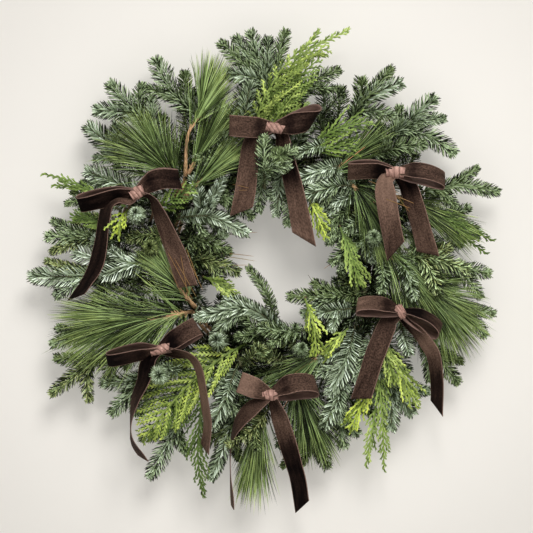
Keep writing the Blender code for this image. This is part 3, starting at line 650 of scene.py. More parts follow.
def add_fir_shoot(growth, rng, line, half_width, tone, style):
    """Needles stand out on both sides of the twig and over it, shorter towards its rounded tip."""
    grown = line.length * (1 - style.bare)
    neat = float(np.clip(1 - tone / NEAT_TONE, 0, 1)) ** .5
    loose = 1 - NEAT_ORDER * neat
    density = style.density * (USUAL_WIDTH / half_width) ** WIDTH_POWER
    count = max(FEWEST_NEEDLES, int(grown * density * (1 - NEAT_THINNER * neat)))
    order = np.arange(count)
    distance = line.length * style.bare + (order + loose * rng.random(count)) / count * grown
    heading = line.heading(distance)
    side, up = frames(heading, OUT)
    row = order // 2 % len(NEAT_DEGREES)
    degrees = np.interp((order * GOLDEN) % 1.0, LOOSE_SHARES, LOOSE_DEGREES)
    degrees = degrees + (np.array(NEAT_DEGREES)[row] - degrees) * neat
    degrees = degrees + rng.normal(0, LEAN_SCATTER * loose, count)
    angle = np.radians(degrees) * np.where(order % 2, 1, -1)
    to_tip = line.length - distance
    near_tip = np.clip(to_tip / TIP_RUN, 0, 1)
    over = np.clip(1 - np.abs(degrees) / OVER_RANGE, 0, 1)
    lean = SIDE_LEAN - OVER_LEAN * over + rng.normal(0, LEAN_SCATTER * loose, count)
    lean = np.radians(lean * (BUD_LEAN + (1 - BUD_LEAN) * near_tip))
    needle, away = splayed(heading, side, up, angle, lean)
    start_ramp = np.clip((distance - line.length * style.bare) / START_RUN, 0, 1)
    taper = np.clip(to_tip / TAPER_RUN, 0, 1)
    taper = TIP_WIDTH + (1 - TIP_WIDTH) * taper * (2 - taper)
    length = half_width * NEEDLE_REACH * (1 - OVER_SHORT * over) * taper
    length = length * (1 - START_SHORT + START_SHORT * start_ramp) * rng.uniform(.9, 1.07, count)
    curl = heading + up * CURL_RISE
    curl = curl - needle * dot(curl, needle)
    bend = curl * (length * rng.uniform(*CURL, count))[:, None]
    face = up + away * FACE_LEAN + rng.normal(0, FACE_SCATTER * loose, (count, 3))
    width = FIR_NEEDLE_WIDTH * rng.uniform(.85, 1.12, count) * (1 + NEAT_WIDER * neat)
    # painted shade: the further round from the top of the twig a needle stands, the darker it is painted
    light = TOP_LIGHT - np.clip(np.abs(degrees) - SHADE_FROM, 0, SHADE_RANGE) / SHADE_RANGE * TOP_LIGHT
    light = light + (np.array(NEAT_LIGHT)[row] - light) * neat - style.dim
    column = columns_for(rng, count, tone, TONE_SPREAD, light, LIGHT_SCATTER * loose + .10)
    add_blades(growth, line.at(distance), needle, face, length, width, bend, column, style.rows, style.flat)
    add_end_needles(growth, rng, line, half_width, tone, style)
    add_twig(growth, line, *FIR_TWIG, sides=FIR_SIDES, rings=max(5, int(line.length / RING_STEP)))


END_NEEDLES = 54
END_LEAN = 76
END_BUD = 5
END_LIGHT = .62


def add_end_needles(growth, rng, line, half_width, tone, style):
    """The short needles that fan out all round the end bud."""
    heading = np.broadcast_to(line.heading(line.length), (END_NEEDLES, 3))
    side, up = frames(heading, OUT)
    angle = np.arange(END_NEEDLES) * GOLDEN * math.tau
    lean = np.radians(END_LEAN * np.sqrt(rng.random(END_NEEDLES)))
    needle, away = splayed(heading, side, up, angle, lean)
    length = half_width * TIP_WIDTH * rng.uniform(.85, 1.05, END_NEEDLES)
    base = line.points[-1] - heading * rng.uniform(0, END_BUD, END_NEEDLES)[:, None]
    width = np.full(END_NEEDLES, FIR_NEEDLE_WIDTH)
    face = up + away * .4 + rng.normal(0, FACE_SCATTER, (END_NEEDLES, 3))
    column = columns_for(rng, END_NEEDLES, tone, TONE_SPREAD, END_LIGHT - style.dim, LIGHT_SCATTER)
    add_blades(growth, base, needle, face, length, width, needle * 0.0, column, style.rows, style.flat)


BRANCH_CORNER = .38
BRANCH_POINTS = 10


def branch_line(trunk, share, tip):
    """A side shoot leaves the trunk forward and bends out to its tip."""
    distance = share * trunk.length
    start = trunk.at(distance)
    tip = np.asarray(tip, float)
    corner = start + trunk.heading(distance) * np.linalg.norm(tip - start) * BRANCH_CORNER
    way = np.linspace(0, 1, BRANCH_POINTS)[:, None]
    return Line(start * (1 - way) ** 2 + 2 * corner * way * (1 - way) + tip * way ** 2)


def grow_fir(growth, rng, fir):
    style = SPRAY_STYLE if fir.name in STEMS else FILLER_STYLE
    trunk = Line(smooth_run(fir.run))
    add_fir_shoot(growth, rng, trunk, fir.half_width, fir.tone, style)
    for branch in fir.branches:
        line = branch_line(trunk, branch.share, branch.tip)
        add_fir_shoot(growth, rng, line, branch.half_width, branch.tone, style)


ROSETTE_NEEDLES = 290
ROSETTE_DEPTH = 11.0
ROSETTE_LEAN = 8
ROSETTE_SPREAD = 78
ROSETTE_CURL = .22
ROSETTE_SHORT = .7
ROSETTE_LONGER = .34
ROSETTE_NARROWER = .92
ROSETTE_LIGHT = .56
ROSETTE_SHADE = .20
ROSETTE_TONE_SPREAD = .05


def grow_rosette(growth, rng, rosette):
    """A shoot seen end on: needles all round its bud, the outer ones laid back into a ball."""
    line = Line(smooth_run(rosette.run))
    order = np.arange(ROSETTE_NEEDLES)
    way = np.sqrt((order + .5) / ROSETTE_NEEDLES)
    heading = line.heading(np.full(ROSETTE_NEEDLES, line.length))
    side, up = frames(heading, UPWARD)
    lean = np.radians(ROSETTE_LEAN + ROSETTE_SPREAD * way)
    needle, away = splayed(heading, side, up, order * GOLDEN * math.tau, lean)
    base = line.at(line.length - ROSETTE_DEPTH * way)
    length = rosette.half_width * rng.uniform(.86, 1.04, ROSETTE_NEEDLES)
    length = length * (ROSETTE_SHORT + ROSETTE_LONGER * way)
    bend = -heading * (length * ROSETTE_CURL * way)[:, None]
    width = np.full(ROSETTE_NEEDLES, FIR_NEEDLE_WIDTH * ROSETTE_NARROWER)
    # painted shade: needles are painted darker in the middle of the rosette and at its rim, and lightest
    # between
    light = ROSETTE_LIGHT - ROSETTE_SHADE * np.cos(way * math.tau)
    column = columns_for(rng, ROSETTE_NEEDLES, rosette.tone, ROSETTE_TONE_SPREAD, light)
    add_blades(growth, base, needle, heading + away * .3, length, width, bend, column)
    add_twig(growth, line, *FIR_TWIG, sides=FIR_SIDES, rings=6)


# ---------------------------------------------------------------- cut stems in the frame

TURN_ANGLE = 15.0
STEM_RADIUS = 2.2
STEM_FORWARD = 10.75
EXIT_FORWARD = STEM_FORWARD + 4.6
CROWDED_RISE = 3.0
LANES = (126.5, 121.0, 132.0, 115.5, 137.5, 110.0, 143.0)
LANE_MARGIN = 1.5
TAIL_STEP = 7.0
TAIL_STEPS = 3
EXIT_RUN = 6.0

# the stems laid in the frame so far, as (lane, first angle, last angle), and where each CAD spray's stem goes
TAKEN = []
STEMS = {}


def ring_spot(radius, angle, forward):
    turn = math.radians(angle)
    return np.array((radius * math.cos(turn), radius * math.sin(turn), forward))


def nearest_exit(base, tip):
    """The gap between front turns of the binding wire where the stem comes out, and which way it leans."""
    lean = 1 if base[0] * (tip[1] - base[1]) - base[1] * (tip[0] - base[0]) > 0 else -1
    angle = math.degrees(math.atan2(base[1], base[0])) - lean * EXIT_RUN
    return round(angle / TURN_ANGLE) * TURN_ANGLE, lean


def lane_is_free(lane, start, end):
    for other_lane, other_start, other_end in TAKEN:
        for turn in (-360.0, 0.0, 360.0):
            meets = start < other_end + turn + LANE_MARGIN and end > other_start + turn - LANE_MARGIN
            if lane == other_lane and meets:
                return False
    return True


def stem_places(run):
    """The cut stem in the frame, from its sawn end to where the foliage starts, in the nearest free lane."""
    base = np.array(run[0], float)
    radius = math.hypot(base[0], base[1])
    angle, lean = nearest_exit(run[0], run[-1])
    tail = angle - lean * (EXIT_RUN + TAIL_STEP * TAIL_STEPS)
    start, end = min(tail, angle), max(tail, angle)
    for lane in sorted(LANES, key=lambda other: abs(other - radius)):
        if lane_is_free(lane, start, end):
            TAKEN.append((lane, start, end))
            turns = [EXIT_RUN + TAIL_STEP * step for step in range(TAIL_STEPS, -1, -1)]
            places = [ring_spot(lane, angle - lean * turn, STEM_FORWARD) for turn in turns]
            return [*places, ring_spot(lane, angle, EXIT_FORWARD), base]
    return [ring_spot(radius, angle, EXIT_FORWARD + CROWDED_RISE), base]


def plan_stems():
    """The CAD sprays' stems have the first choice of lanes."""
    for spray in SPRAY_FIRS + SPRAY_PINES + SPRAY_CEDARS:
        STEMS[spray.name] = stem_places(course_of(spray))


def course_of(sprig):
    return sprig.fronds[0].run if isinstance(sprig, Cedar) else sprig.run


def stem_for(sprig):
    return STEMS.get(sprig.name) or stem_places(course_of(sprig))


def add_stem(growth, rng, places, end_radius=1.8, rings=22, rough=.16):
    add_twig(growth, Line(smooth_run(places, 4)), STEM_RADIUS, end_radius, 8, rings, rough, rng)


# ---------------------------------------------------------------- pine

BUNDLE = 5
FEWEST_BUNDLES = 4
PINE_FULLNESS = 1.5
PINE_NEEDLE_WIDTH = .72
PINE_TWIG = (2.6, 1.5)
PINE_RISE = .55
PINE_START_SCATTER = .35
PINE_SPREAD = .085
PINE_FALL_SCATTER = .035
PINE_FACE_SCATTER = .5
PINE_TONE_SPREAD = .09
PINE_LIGHT = .54
PINE_SHADE = .20
PINE_LIGHT_SCATTER = .40
SHEATH_LENGTH = 8.0
SHEATH_WIDTH = 2.2
DRY_WIDTH = .75


def add_pine_tuft(growth, rng, line, pine):
    """Bundles of five long needles fan out from the end of the twig, each bundle in its sheath."""
    bundles = max(FEWEST_BUNDLES, int(pine.needles * PINE_FULLNESS / BUNDLE))
    order = np.arange(bundles)
    way = pine.bare + (1 - pine.bare) * np.sqrt((order + rng.random(bundles)) / bundles)
    start = line.at(way * line.length)
    heading = line.heading(way * line.length)
    side, up = frames(heading, OUT)
    angle = order * GOLDEN * math.tau + rng.normal(0, .2, bundles)
    narrow, wide = pine.opening
    to_tip = (way - pine.bare) / (1 - pine.bare)
    lean = np.radians(narrow + (wide - narrow) * rng.random(bundles) ** .8 * (1.15 - .5 * to_tip))
    course, _ = splayed(heading, side, up, angle, lean, PINE_RISE)
    count = bundles * BUNDLE
    base = np.repeat(start, BUNDLE, 0) + rng.normal(0, PINE_START_SCATTER, (count, 3))
    needle = unit(np.repeat(course, BUNDLE, 0) + rng.normal(0, PINE_SPREAD, (count, 3)))
    length = pine.length * rng.uniform(.78, 1.06, count)
    fall = -UPWARD * pine.droop + rng.normal(0, PINE_FALL_SCATTER, (count, 3))
    face = OUT + rng.normal(0, PINE_FACE_SCATTER, (count, 3))
    width = PINE_NEEDLE_WIDTH * rng.uniform(.85, 1.1, count)
    # painted shade: bundles round the back of the twig are painted darker than those facing out; the rest
    # varies at random
    light = PINE_LIGHT + PINE_SHADE * np.cos(angle) + rng.normal(0, PINE_LIGHT_SCATTER, bundles)
    column = columns_for(rng, count, pine.tone, PINE_TONE_SPREAD, np.repeat(light, BUNDLE), .32)
    add_blades(growth, base, needle, face, length, width, fall * length[:, None], column, PINE_ROWS)
    face = up + rng.normal(0, .2, (bundles, 3))
    length = np.full(bundles, SHEATH_LENGTH)
    width = np.full(bundles, SHEATH_WIDTH)
    column = np.full(bundles, TEXTURE_COLUMNS - BARK_COLUMNS + 1.0)
    add_blades(growth, start, course, face, length, width, course * 0.0, column, slot=BARK)


def grow_pine(growth, rng, pine):
    line = Line(smooth_run(pine.run))
    add_pine_tuft(growth, rng, line, pine)
    add_twig(growth, line, *PINE_TWIG, sides=8, rings=30, rough=.42, rng=rng)


# ---------------------------------------------------------------- cedar

SCALE = 2.0
NARROW_SCALE = .68
STRIP_TAPER = .45
STRIP_RIDGE = .55
STRIP_END = .12
SIDE_POINTS = 5
STALK_WIDER = 1.4
FEATHER_WIDER = 1.1
FEATHER_SWEEP = 10
FEATHER_LIGHT = (.38, 1.0)
FEATHERS_FROM = .10
FEATHERS_TO_END = 3
SHORTEST_FEATHER = 5.0
TWIG_SWEEP = 8
TWIGS_FROM = 2.5
TWIGS_TO_END = 2
SHORTEST_TWIG = 3.0
TWIG_TAPER = .26
FROND_PROFILE = ((0, .12, .38, .7, 1), (.25, .8, 1.0, .62, .12))


def add_scale_strip(growth, line, width, up, column):
    """A flat branchlet of overlapping scale leaves, so its edges go in and out."""
    rows = max(3, int(line.length / SCALE) + 1)
    way = np.linspace(0, 1, rows)
    middle = line.at(way * line.length)
    side, over = frames(line.heading(way * line.length), up)
    bulge = np.where(np.arange(rows) % 2, 1.0, NARROW_SCALE)
    half = (width / 2 * bulge * (1 - STRIP_TAPER * way ** 2))[:, None]
    half[-1] = STRIP_END
    ridge = middle + over * half * STRIP_RIDGE
    points = np.stack((middle - side * half, ridge, middle + side * half), 1).reshape(-1, 3)
    across = (column + np.tile(ACROSS, rows)) / TEXTURE_COLUMNS
    corners = np.array(((0, 1, 4), (0, 4, 3), (1, 2, 5), (1, 5, 4)))
    faces = np.arange(rows - 1)[:, None, None] * 3 + corners[None]
    growth.add(points, faces.reshape(-1, 3), np.stack((across, np.repeat(way, 3)), -1), LEAF)


def side_line(start, heading, out, length, angle, sweep):
    """A branchlet that leaves at an angle and sweeps forward."""
    first, last = (heading * math.cos(turn) + out * math.sin(turn)
                   for turn in (math.radians(angle), math.radians(angle - sweep)))
    way = np.linspace(0, 1, SIDE_POINTS)[:, None]
    return Line(start + first * length * way * (1 - way / 2) + last * length * way ** 2 / 2)


# how a frond grows: the step between its side feathers, how unequal they are and their angle, then how wide
# the last twigs are, the gap between them, their reach as a share of the step, and their angle
Habit = namedtuple("Habit", "pitch uneven angle twig gap reach twig_angle")
SLIM_FROND = 16.5
SLIM_HABIT = Habit(8.0, .42, 27.0, 2.1, 1.9, .60, 30.0)


def frond_habit(half_width):
    """A broad frond is a regular feather; a slim one is a loose runner with a few thick twigs."""
    if half_width < SLIM_FROND:
        return SLIM_HABIT
    return Habit(3.8 + .22 * half_width, .11, 36.0, 1.55 + .015 * half_width, 1.2, .50, 36.0)


def cedar_column(rng, tone, light):
    return float(columns_for(rng, 1, tone, .04, light, .13)[0])


def grow_frond(growth, rng, frond):
    """A stem with feathers on both sides, each set well apart from the next."""
    line = Line(smooth_run(frond.run))
    tilt = unit(OUT + rng.normal(0, .12, 3))
    habit = frond_habit(frond.half_width)
    add_scale_strip(growth, line, habit.twig * STALK_WIDER, tilt, cedar_column(rng, frond.tone, .6))
    distance = line.length * FEATHERS_FROM
    hand = 1
    while distance < line.length - FEATHERS_TO_END:
        start, heading = line.at(distance), line.heading(distance)
        side, up = frames(heading, tilt)
        out = unit(side * hand + up * rng.normal(0, .10))
        share = frond.left if hand > 0 else frond.right
        profile = float(np.interp(distance / line.length, *FROND_PROFILE))
        reach = share * frond.half_width * profile / math.sin(math.radians(habit.angle))
        reach = max(SHORTEST_FEATHER, reach * rng.uniform(1 - habit.uneven, 1 + habit.uneven))
        branchlet = side_line(start, heading, out, reach, habit.angle + rng.normal(0, 3), FEATHER_SWEEP)
        light = rng.uniform(*FEATHER_LIGHT)
        column = cedar_column(rng, frond.tone, light)
        add_scale_strip(growth, branchlet, habit.twig * FEATHER_WIDER, up, column)
        grow_twigs(growth, rng, branchlet, up, frond.tone, light, habit)
        hand = -hand
        distance += habit.pitch / 2 * rng.uniform(.9, 1.1)


def grow_twigs(growth, rng, branchlet, up, tone, light, habit):
    """The last, short scale twigs on both sides of a branchlet."""
    distance = TWIGS_FROM
    hand = 1
    while distance < branchlet.length - TWIGS_TO_END:
        start, heading = branchlet.at(distance), branchlet.heading(distance)
        side, over = frames(heading, up)
        out = unit(side * hand + over * rng.normal(0, .06))
        reach = min(SHORTEST_TWIG + TWIG_TAPER * (branchlet.length - distance), habit.pitch * habit.reach)
        reach = reach * rng.uniform(.9, 1.08)
        twig = side_line(start, heading, out, reach, habit.twig_angle, TWIG_SWEEP)
        add_scale_strip(growth, twig, habit.twig, over, cedar_column(rng, tone, light))
        hand = -hand
        distance += habit.twig * habit.gap * rng.uniform(.92, 1.08)


def grow_cedar(growth, rng, cedar):
    for frond in cedar.fronds:
        grow_frond(growth, rng, frond)


# ---------------------------------------------------------------- bows

RIBBON = 25.0
RIBBON_THICKNESS = 0.7
RIBBON_COLUMNS = 13
VELVET = 0
REVERSE = 1
KNOT = 2
GATHER = 0.38
GATHER_RUN = 21.0
TAIL_GATHER_RUN = 27.3
PLEATS = 2.5
PLEAT_DEPTH = 2.2
# painted shade: a dark band across each loop a third of the way out, where its gathers end
LOOP_SHADE = .22
LOOP_SHADE_PLACE = .34
LOOP_SHADE_WIDTH = .12
WAVES = ((17.0, 1, .9), (9.0, 2, .35))
FOLD_START = .36
FOLD_RUN = .28
LOOP_POINTS = 6
LOOP_GATHER = .7
TAIL_POINTS = 9
TAIL_GATHER = .8
SLANT_RUN = 34
KNOT_RIBBON = 46.0
KNOT_DEPTH = 14.0
KNOT_ROWS = 40
KNOT_COLUMNS = 41
KNOT_CREASES = 3.4
CREASE_LEAN = 2.6
CREASE_WIDTH = .30
FINE_WIDTH = .24
FINE_SHARE = 1.7
LOOP_OUTLINE = ((0.0, 0.12), (0.32, 0.42), (0.72, 0.52), (0.95, 0.34), (1.0, 0.0),
                (0.94, -0.34), (0.7, -0.5), (0.32, -0.4), (0.0, -0.12))

# A bow is the place and turn of its knot, the knot's width and height, how far its creases slant, its loops
# and its tails. A loop is its direction and length, how far its front and its back lean (a positive lean
# shows its inside from below), how far it opens, how much it arches, its painted light and shade (0 dark to
# 1 light) near the knot and at its end, how much further out one edge runs, and how late it leans. A tail is
# the places of its middle line with the ribbon's twist and painted light and shade there, and how much longer
# one edge is cut.
Loop = namedtuple("Loop", "direction length front back puff arch nap skew late", defaults=(0, 0))
Tail = namedtuple("Tail", "run slant")
Bow = namedtuple("Bow", "x z forward turn knot crease loops tails")
BOWS = (
    Bow(-164, 78, 76, 28, (17, 15), .5,
        (Loop(191, 71, -44, -50, 9, 2, (.42, 0)), Loop(17, 53, -4, -12, 13, 8, (.55, .18))),
        (Tail(((-172, 70, 77, 45, .6), (-187, 71, 79, 62, .5), (-199, 62, 76, 54, .3),
               (-204, 42, 71, 50, .2), (-208, 16, 64, 48, .18), (-215, -10, 58, 48, .16),
               (-226, -30, 57, 54, .12), (-238, -47, 55, 56, .12)), -22),
         Tail(((-149, 73, 74, 70, .3), (-140, 58, 76, 56, .4), (-132, 40, 76, 40, .5),
               (-121, 14, 75, 30, .6), (-112, -10, 73, 22, .66), (-104, -34, 72, 14, .6)), 4))),
    Bow(0, 155, 78, -10, (21, 13), 1.3,
        (Loop(177, 54, 0, 0, 13, -1, (.42, .6)), Loop(17, 51, -58, -58, 14, -1, (.55, .14), 16, 2.2)),
        (Tail(((-20, 148, 76, 40, .3), (-30, 134, 76, 45, .4), (-31, 114, 75, 24, .58),
               (-35, 82, 72, 10, .64), (-40, 55, 68, 6, .6)), -16),
         Tail(((8, 146, 72, 40, .3), (11, 128, 73, 46, .45), (17, 106, 73, 36, .12), (25, 74, 71, 26, .62),
               (35, 22, 64, 12, .72)), 22))),
    Bow(143, 102, 78, -2, (22, 13), .1,
        (Loop(178, 56, -40, -44, 7, 3, (.12, .62)), Loop(-10, 60, 44, 50, 12, 3, (.52, .42))),
        (Tail(((131, 90, 82, 18, .95), (134, 60, 80, 12, .8), (140, 28, 76, 16, .55),
               (144, 8, 73, 20, .42)), -20),
         Tail(((158, 86, 74, 30, .12), (166, 64, 74, 28, .48), (174, 38, 71, 26, .62),
               (183, 5, 66, 20, .62)), 12))),
    Bow(150, -64, 76, 34, (10, 17), .2,
        (Loop(173, 53, 50, 44, 10, 3, (.3, .78)), Loop(-27, 52, 60, 48, 15, 3, (0, .4))),
        (Tail(((137, -74, 72, 22, .35), (132, -84, 74, 26, .46), (120, -113, 74, 26, .48),
               (111, -142, 71, 24, .46), (103, -168, 68, 20, .42)), -9),
         Tail(((157, -76, 72, 58, .15), (170, -88, 74, 56, .5), (180, -101, 74, 55, .86),
               (189, -117, 71, 55, .7), (193, -140, 66, 54, .32), (194, -160, 61, 54, .26),
               (194, -180, 56, 54, .24)), 14))),
    Bow(-5, -163, 76, -4, (20, 12), .3,
        (Loop(158, 40, 8, 0, 12, 0, (.6, .98)), Loop(11, 56, 32, 36, 19, 4, (.52, .5))),
        (Tail(((-15, -170, 76, 46, .5), (-29, -180, 75, 48, .52), (-41, -193, 72, 58, .45),
               (-49, -209, 68, 76, .4), (-53, -228, 63, 84, .5), (-53, -256, 56, 85, .5),
               (-51, -299, 48, 85, .5)), 0),
         Tail(((1, -177, 75, 40, .35), (8, -197, 75, 34, .68), (16, -224, 70, 38, .3),
               (22, -244, 65, 40, .13), (28, -266, 60, 40, .1), (33, -298, 53, 40, .09)), -18))),
    Bow(-137, -109, 76, 15, (23, 11), .9,
        (Loop(190, 64, -54, -60, 11, 2, (.62, 0)), Loop(31, 53, 26, 20, 10, 0, (.1, .58))),
        (Tail(((-150, -121, 74, 40, .1), (-157, -146, 73, 52, .12), (-166, -167, 69, 62, .3),
               (-171, -188, 65, 76, .4), (-172, -208, 61, 84, .4), (-168, -224, 57, 78, .3),
               (-158, -240, 53, 74, .4)), 8),
         Tail(((-120, -113, 76, 56, .3), (-104, -116, 78, 72, .6), (-94, -126, 78, 72, .8),
               (-88, -144, 76, 70, .9), (-83, -176, 72, 65, .9), (-80, -200, 68, 63, .85),
               (-84, -228, 64, 66, .6)), 8))),
)


class Cloth(Growth):
    """Strips of ribbon gathered into one mesh of quads, with the ribbon's length so far."""

    length = 0.0

    def add_grid(self, grid, length, nap, slot, closed=False):
        """grid is (rows, columns, 3), rows running along the ribbon. The painted light and shade, 0 dark to 1
        light, is (rows, 1 or columns).
        """
        rows, columns = grid.shape[:2]
        row = np.arange(rows if closed else rows - 1)[:, None] * columns
        after = (row + columns) % (rows * columns)
        column = np.arange(columns - 1)[None]
        quads = np.stack((row + column, row + column + 1, after + column + 1, after + column), -1)
        across = np.tile(np.linspace(0, 1, columns), rows)
        along = np.repeat(self.length + np.linspace(0, length, rows), columns) / RIBBON
        nap = np.broadcast_to(nap, (rows, columns)).ravel()
        self.add(grid.reshape(-1, 3), quads.reshape(-1, 4), np.stack((across, along, nap), -1), slot)
        self.length += length


def turned(vector, axis, degrees):
    """Vectors turned about unit axes, row by row."""
    turn = np.radians(degrees)[:, None]
    kept = axis * dot(axis, vector) * (1 - np.cos(turn))
    return vector * np.cos(turn) + np.cross(axis, vector) * np.sin(turn) + kept


def gathered_share(distance, run, power):
    """How much of its width a ribbon has at a distance from the knot."""
    return GATHER + (1 - GATHER) * np.clip(distance / run, 0, 1) ** power


def add_ribbon(cloth, rng, places, edges, outward, gathers, nap, slant=0.0):
    """A strip with pleats where it is gathered, soft waves elsewhere and its end cut at a slant."""
    line = Line(places)
    heading = unit(np.gradient(places, axis=0))
    over = unit(np.cross(edges, heading))
    across = np.linspace(-1, 1, RIBBON_COLUMNS)
    half = RIBBON / 2 * gathers
    pleat = PLEAT_DEPTH * np.clip((1 - gathers) / (1 - GATHER), 0, 1)
    phase = rng.random() * math.tau
    ripple = np.cos(across[None] * math.pi * PLEATS + phase)
    wave = sum(np.sin(line.distance / span + turns * phase)[:, None] * size for span, turns, size in WAVES)
    wave = wave * (across[None] * .8 + .3 * across[None] ** 2) * np.clip(gathers, 0, 1)[:, None]
    lift = pleat[:, None] * ripple + wave
    shear = np.clip((line.distance - line.length + SLANT_RUN) / SLANT_RUN, 0, 1) * slant / 2
    grid = places[:, None] + edges[:, None] * (half[:, None] * across[None])[..., None]
    grid = grid + over[:, None] * lift[..., None]
    grid = grid + heading[:, None] * (shear[:, None] * across[None])[..., None]
    if np.sum(over * outward) < 0:
        grid = grid[:, ::-1]
    cloth.add_grid(grid, line.length, nap[:, None], VELVET)


def bow_axes(degrees):
    """The directions along and square to a turn in the plane of the wreath."""
    turn = math.radians(degrees)
    return np.array((math.cos(turn), math.sin(turn), 0.0)), np.array((-math.sin(turn), math.cos(turn), 0.0))


def add_loop(cloth, rng, bow, loop):
    """A loop leaves the front of the knot, bends over and comes back to it behind."""
    along, up = bow_axes(loop.direction)
    if up[1] < 0:
        up = -up
    outline = smooth_run([(way, puff, 0.0) for way, puff in LOOP_OUTLINE], LOOP_POINTS)
    way = outline[:, :1]
    course = np.linspace(0, 1, len(outline))[:, None]
    turning = np.clip((course - FOLD_START) / FOLD_RUN, 0, 1)
    turning = turning ** 2 * (3 - 2 * turning)
    lean = np.radians(loop.front + (loop.back - loop.front) * turning) * np.clip(way, 0, 1) ** loop.late
    front = OUT * np.cos(lean) + up * np.sin(lean)
    edges = up * np.cos(lean) - OUT * np.sin(lean)
    knot = np.array((bow.x, bow.z, bow.forward), float)
    arch = up * loop.arch * np.sin(np.clip(way, 0, 1) * math.pi)
    places = knot + along * (loop.length * way) + front * (loop.puff * outline[:, 1:2]) + arch
    edges = edges + along * (loop.skew / RIBBON * np.clip(way, 0, 1))
    way = way[:, 0]
    gathers = gathered_share(loop.length * way, GATHER_RUN, LOOP_GATHER)
    # painted light and shade along the loop, from near the knot to its end
    nap = loop.nap[0] + (loop.nap[1] - loop.nap[0]) * way
    # painted shade: the dark band part way out along the loop
    nap = nap - LOOP_SHADE * np.exp(-((way - LOOP_SHADE_PLACE) / LOOP_SHADE_WIDTH) ** 2)
    add_ribbon(cloth, rng, places, edges, front * np.sign(.5 - course), gathers, nap)


def add_tail(cloth, rng, bow, tail):
    """A tail falls from inside the knot along its run, turning about its own line."""
    run = smooth_run([(bow.x, bow.z, bow.forward, *tail.run[0][3:]), *tail.run], TAIL_POINTS)
    places = run[:, :3]
    heading = unit(np.gradient(places, axis=0))
    outward = unit(OUT - heading * dot(np.broadcast_to(OUT, heading.shape), heading))
    edges = turned(np.cross(outward, heading), heading, run[:, 3])
    gathers = gathered_share(Line(places).distance, TAIL_GATHER_RUN, TAIL_GATHER)
    # the run's last column is the painted light and shade along the tail
    add_ribbon(cloth, rng, places, edges, outward, gathers, run[:, 4], tail.slant)


# a knot's creases: how deep they and the finer ones are, how dark their painted shade is, and how they fade at
# its top and bottom
CREASE_DEPTH = 1.6
FINE_DEPTH = .6
CREASE_SHADE = .85
FINE_SHADE = .45
CREASE_REST = .5
CREASE_FADE = .35
FINE_SWAY = .8

# how a knot narrows towards its sides, flares at its edges and swells unevenly
KNOT_NARROWS = .26
KNOT_FLARE = .16
FLARE_WIDTH = .12
KNOT_SWELL = .06
KNOT_LEAN = .10


def add_knot(cloth, rng, bow):
    """The ribbon wrapped round the middle, pulled into slanted creases with finer ones between them."""
    along, up = bow_axes(bow.turn)
    around = np.linspace(0, math.tau, KNOT_ROWS + 1)[:-1, None]
    across = np.linspace(-1, 1, KNOT_COLUMNS)[None]
    phase = rng.random() * math.tau
    lay = across * math.pi * KNOT_CREASES / 2 + phase + CREASE_LEAN * bow.crease * np.sin(around)
    crease = np.exp(-(np.sin(lay) / CREASE_WIDTH) ** 2)
    fine_lay = FINE_SHARE * lay + 2 * phase + FINE_SWAY * np.sin(2 * around)
    fine = np.exp(-(np.sin(fine_lay) / FINE_WIDTH) ** 2)
    fold = CREASE_REST - CREASE_DEPTH * crease - FINE_DEPTH * fine
    fold = fold * (CREASE_FADE + (1 - CREASE_FADE) * np.cos(around) ** 2)
    flare = np.exp(-((1 - np.abs(across)) / FLARE_WIDTH) ** 2)
    barrel = 1 - KNOT_NARROWS * across ** 2 + KNOT_FLARE * flare + KNOT_SWELL * np.sin(2 * across + phase)
    high = (bow.knot[1] / 2 * barrel + fold) * np.sin(around)
    deep = (KNOT_DEPTH / 2 * barrel + fold) * np.cos(around)
    wide = bow.knot[0] / 2 * across * (1 + KNOT_LEAN * np.sin(around)) + bow.crease * np.sin(around)
    centre = np.array((bow.x, bow.z, bow.forward), float)
    grid = centre + along * wide[..., None] + up * high[..., None] + OUT * deep[..., None]
    # painted shade: the creases are painted darker than the rest of the knot
    nap = 1 - CREASE_SHADE * crease - FINE_SHADE * fine * (1 - crease)
    cloth.add_grid(grid, KNOT_RIBBON, nap, KNOT, closed=True)


def make_bow(number, bow, materials):
    """One length of ribbon tied in a bow. It is kept as a shape for the leaves to stay clear of."""
    name = f"ribbon_bow_{number}"
    rng = seeded(name)
    cloth = Cloth()
    for loop in bow.loops:
        add_loop(cloth, rng, bow, loop)
    for tail in bow.tails:
        add_tail(cloth, rng, bow, tail)
    add_knot(cloth, rng, bow)
    points, quads, places, slots = cloth.gathered()
    thickness = RIBBON_THICKNESS * MM
    RIBBONS.append(BVHTree.FromPolygons(world(points).tolist(), quads.tolist(), epsilon=thickness))
    # the second layer carries the painted light and shade of the ribbon
    layers = {"Ribbon": places[:, :2], "Nap": places[:, [2, 2]]}
    piece = add_mesh(name, points, quads, slots, layers, materials)
    thicken = piece.modifiers.new("ribbon_thickness", "SOLIDIFY")
    thicken.thickness = thickness
    thicken.offset = 0.0
    thicken.material_offset = REVERSE
    thicken.material_offset_rim = REVERSE
    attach(piece, "root")
    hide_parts(f"velvet_bow_{number}")


# ---------------------------------------------------------------- materials


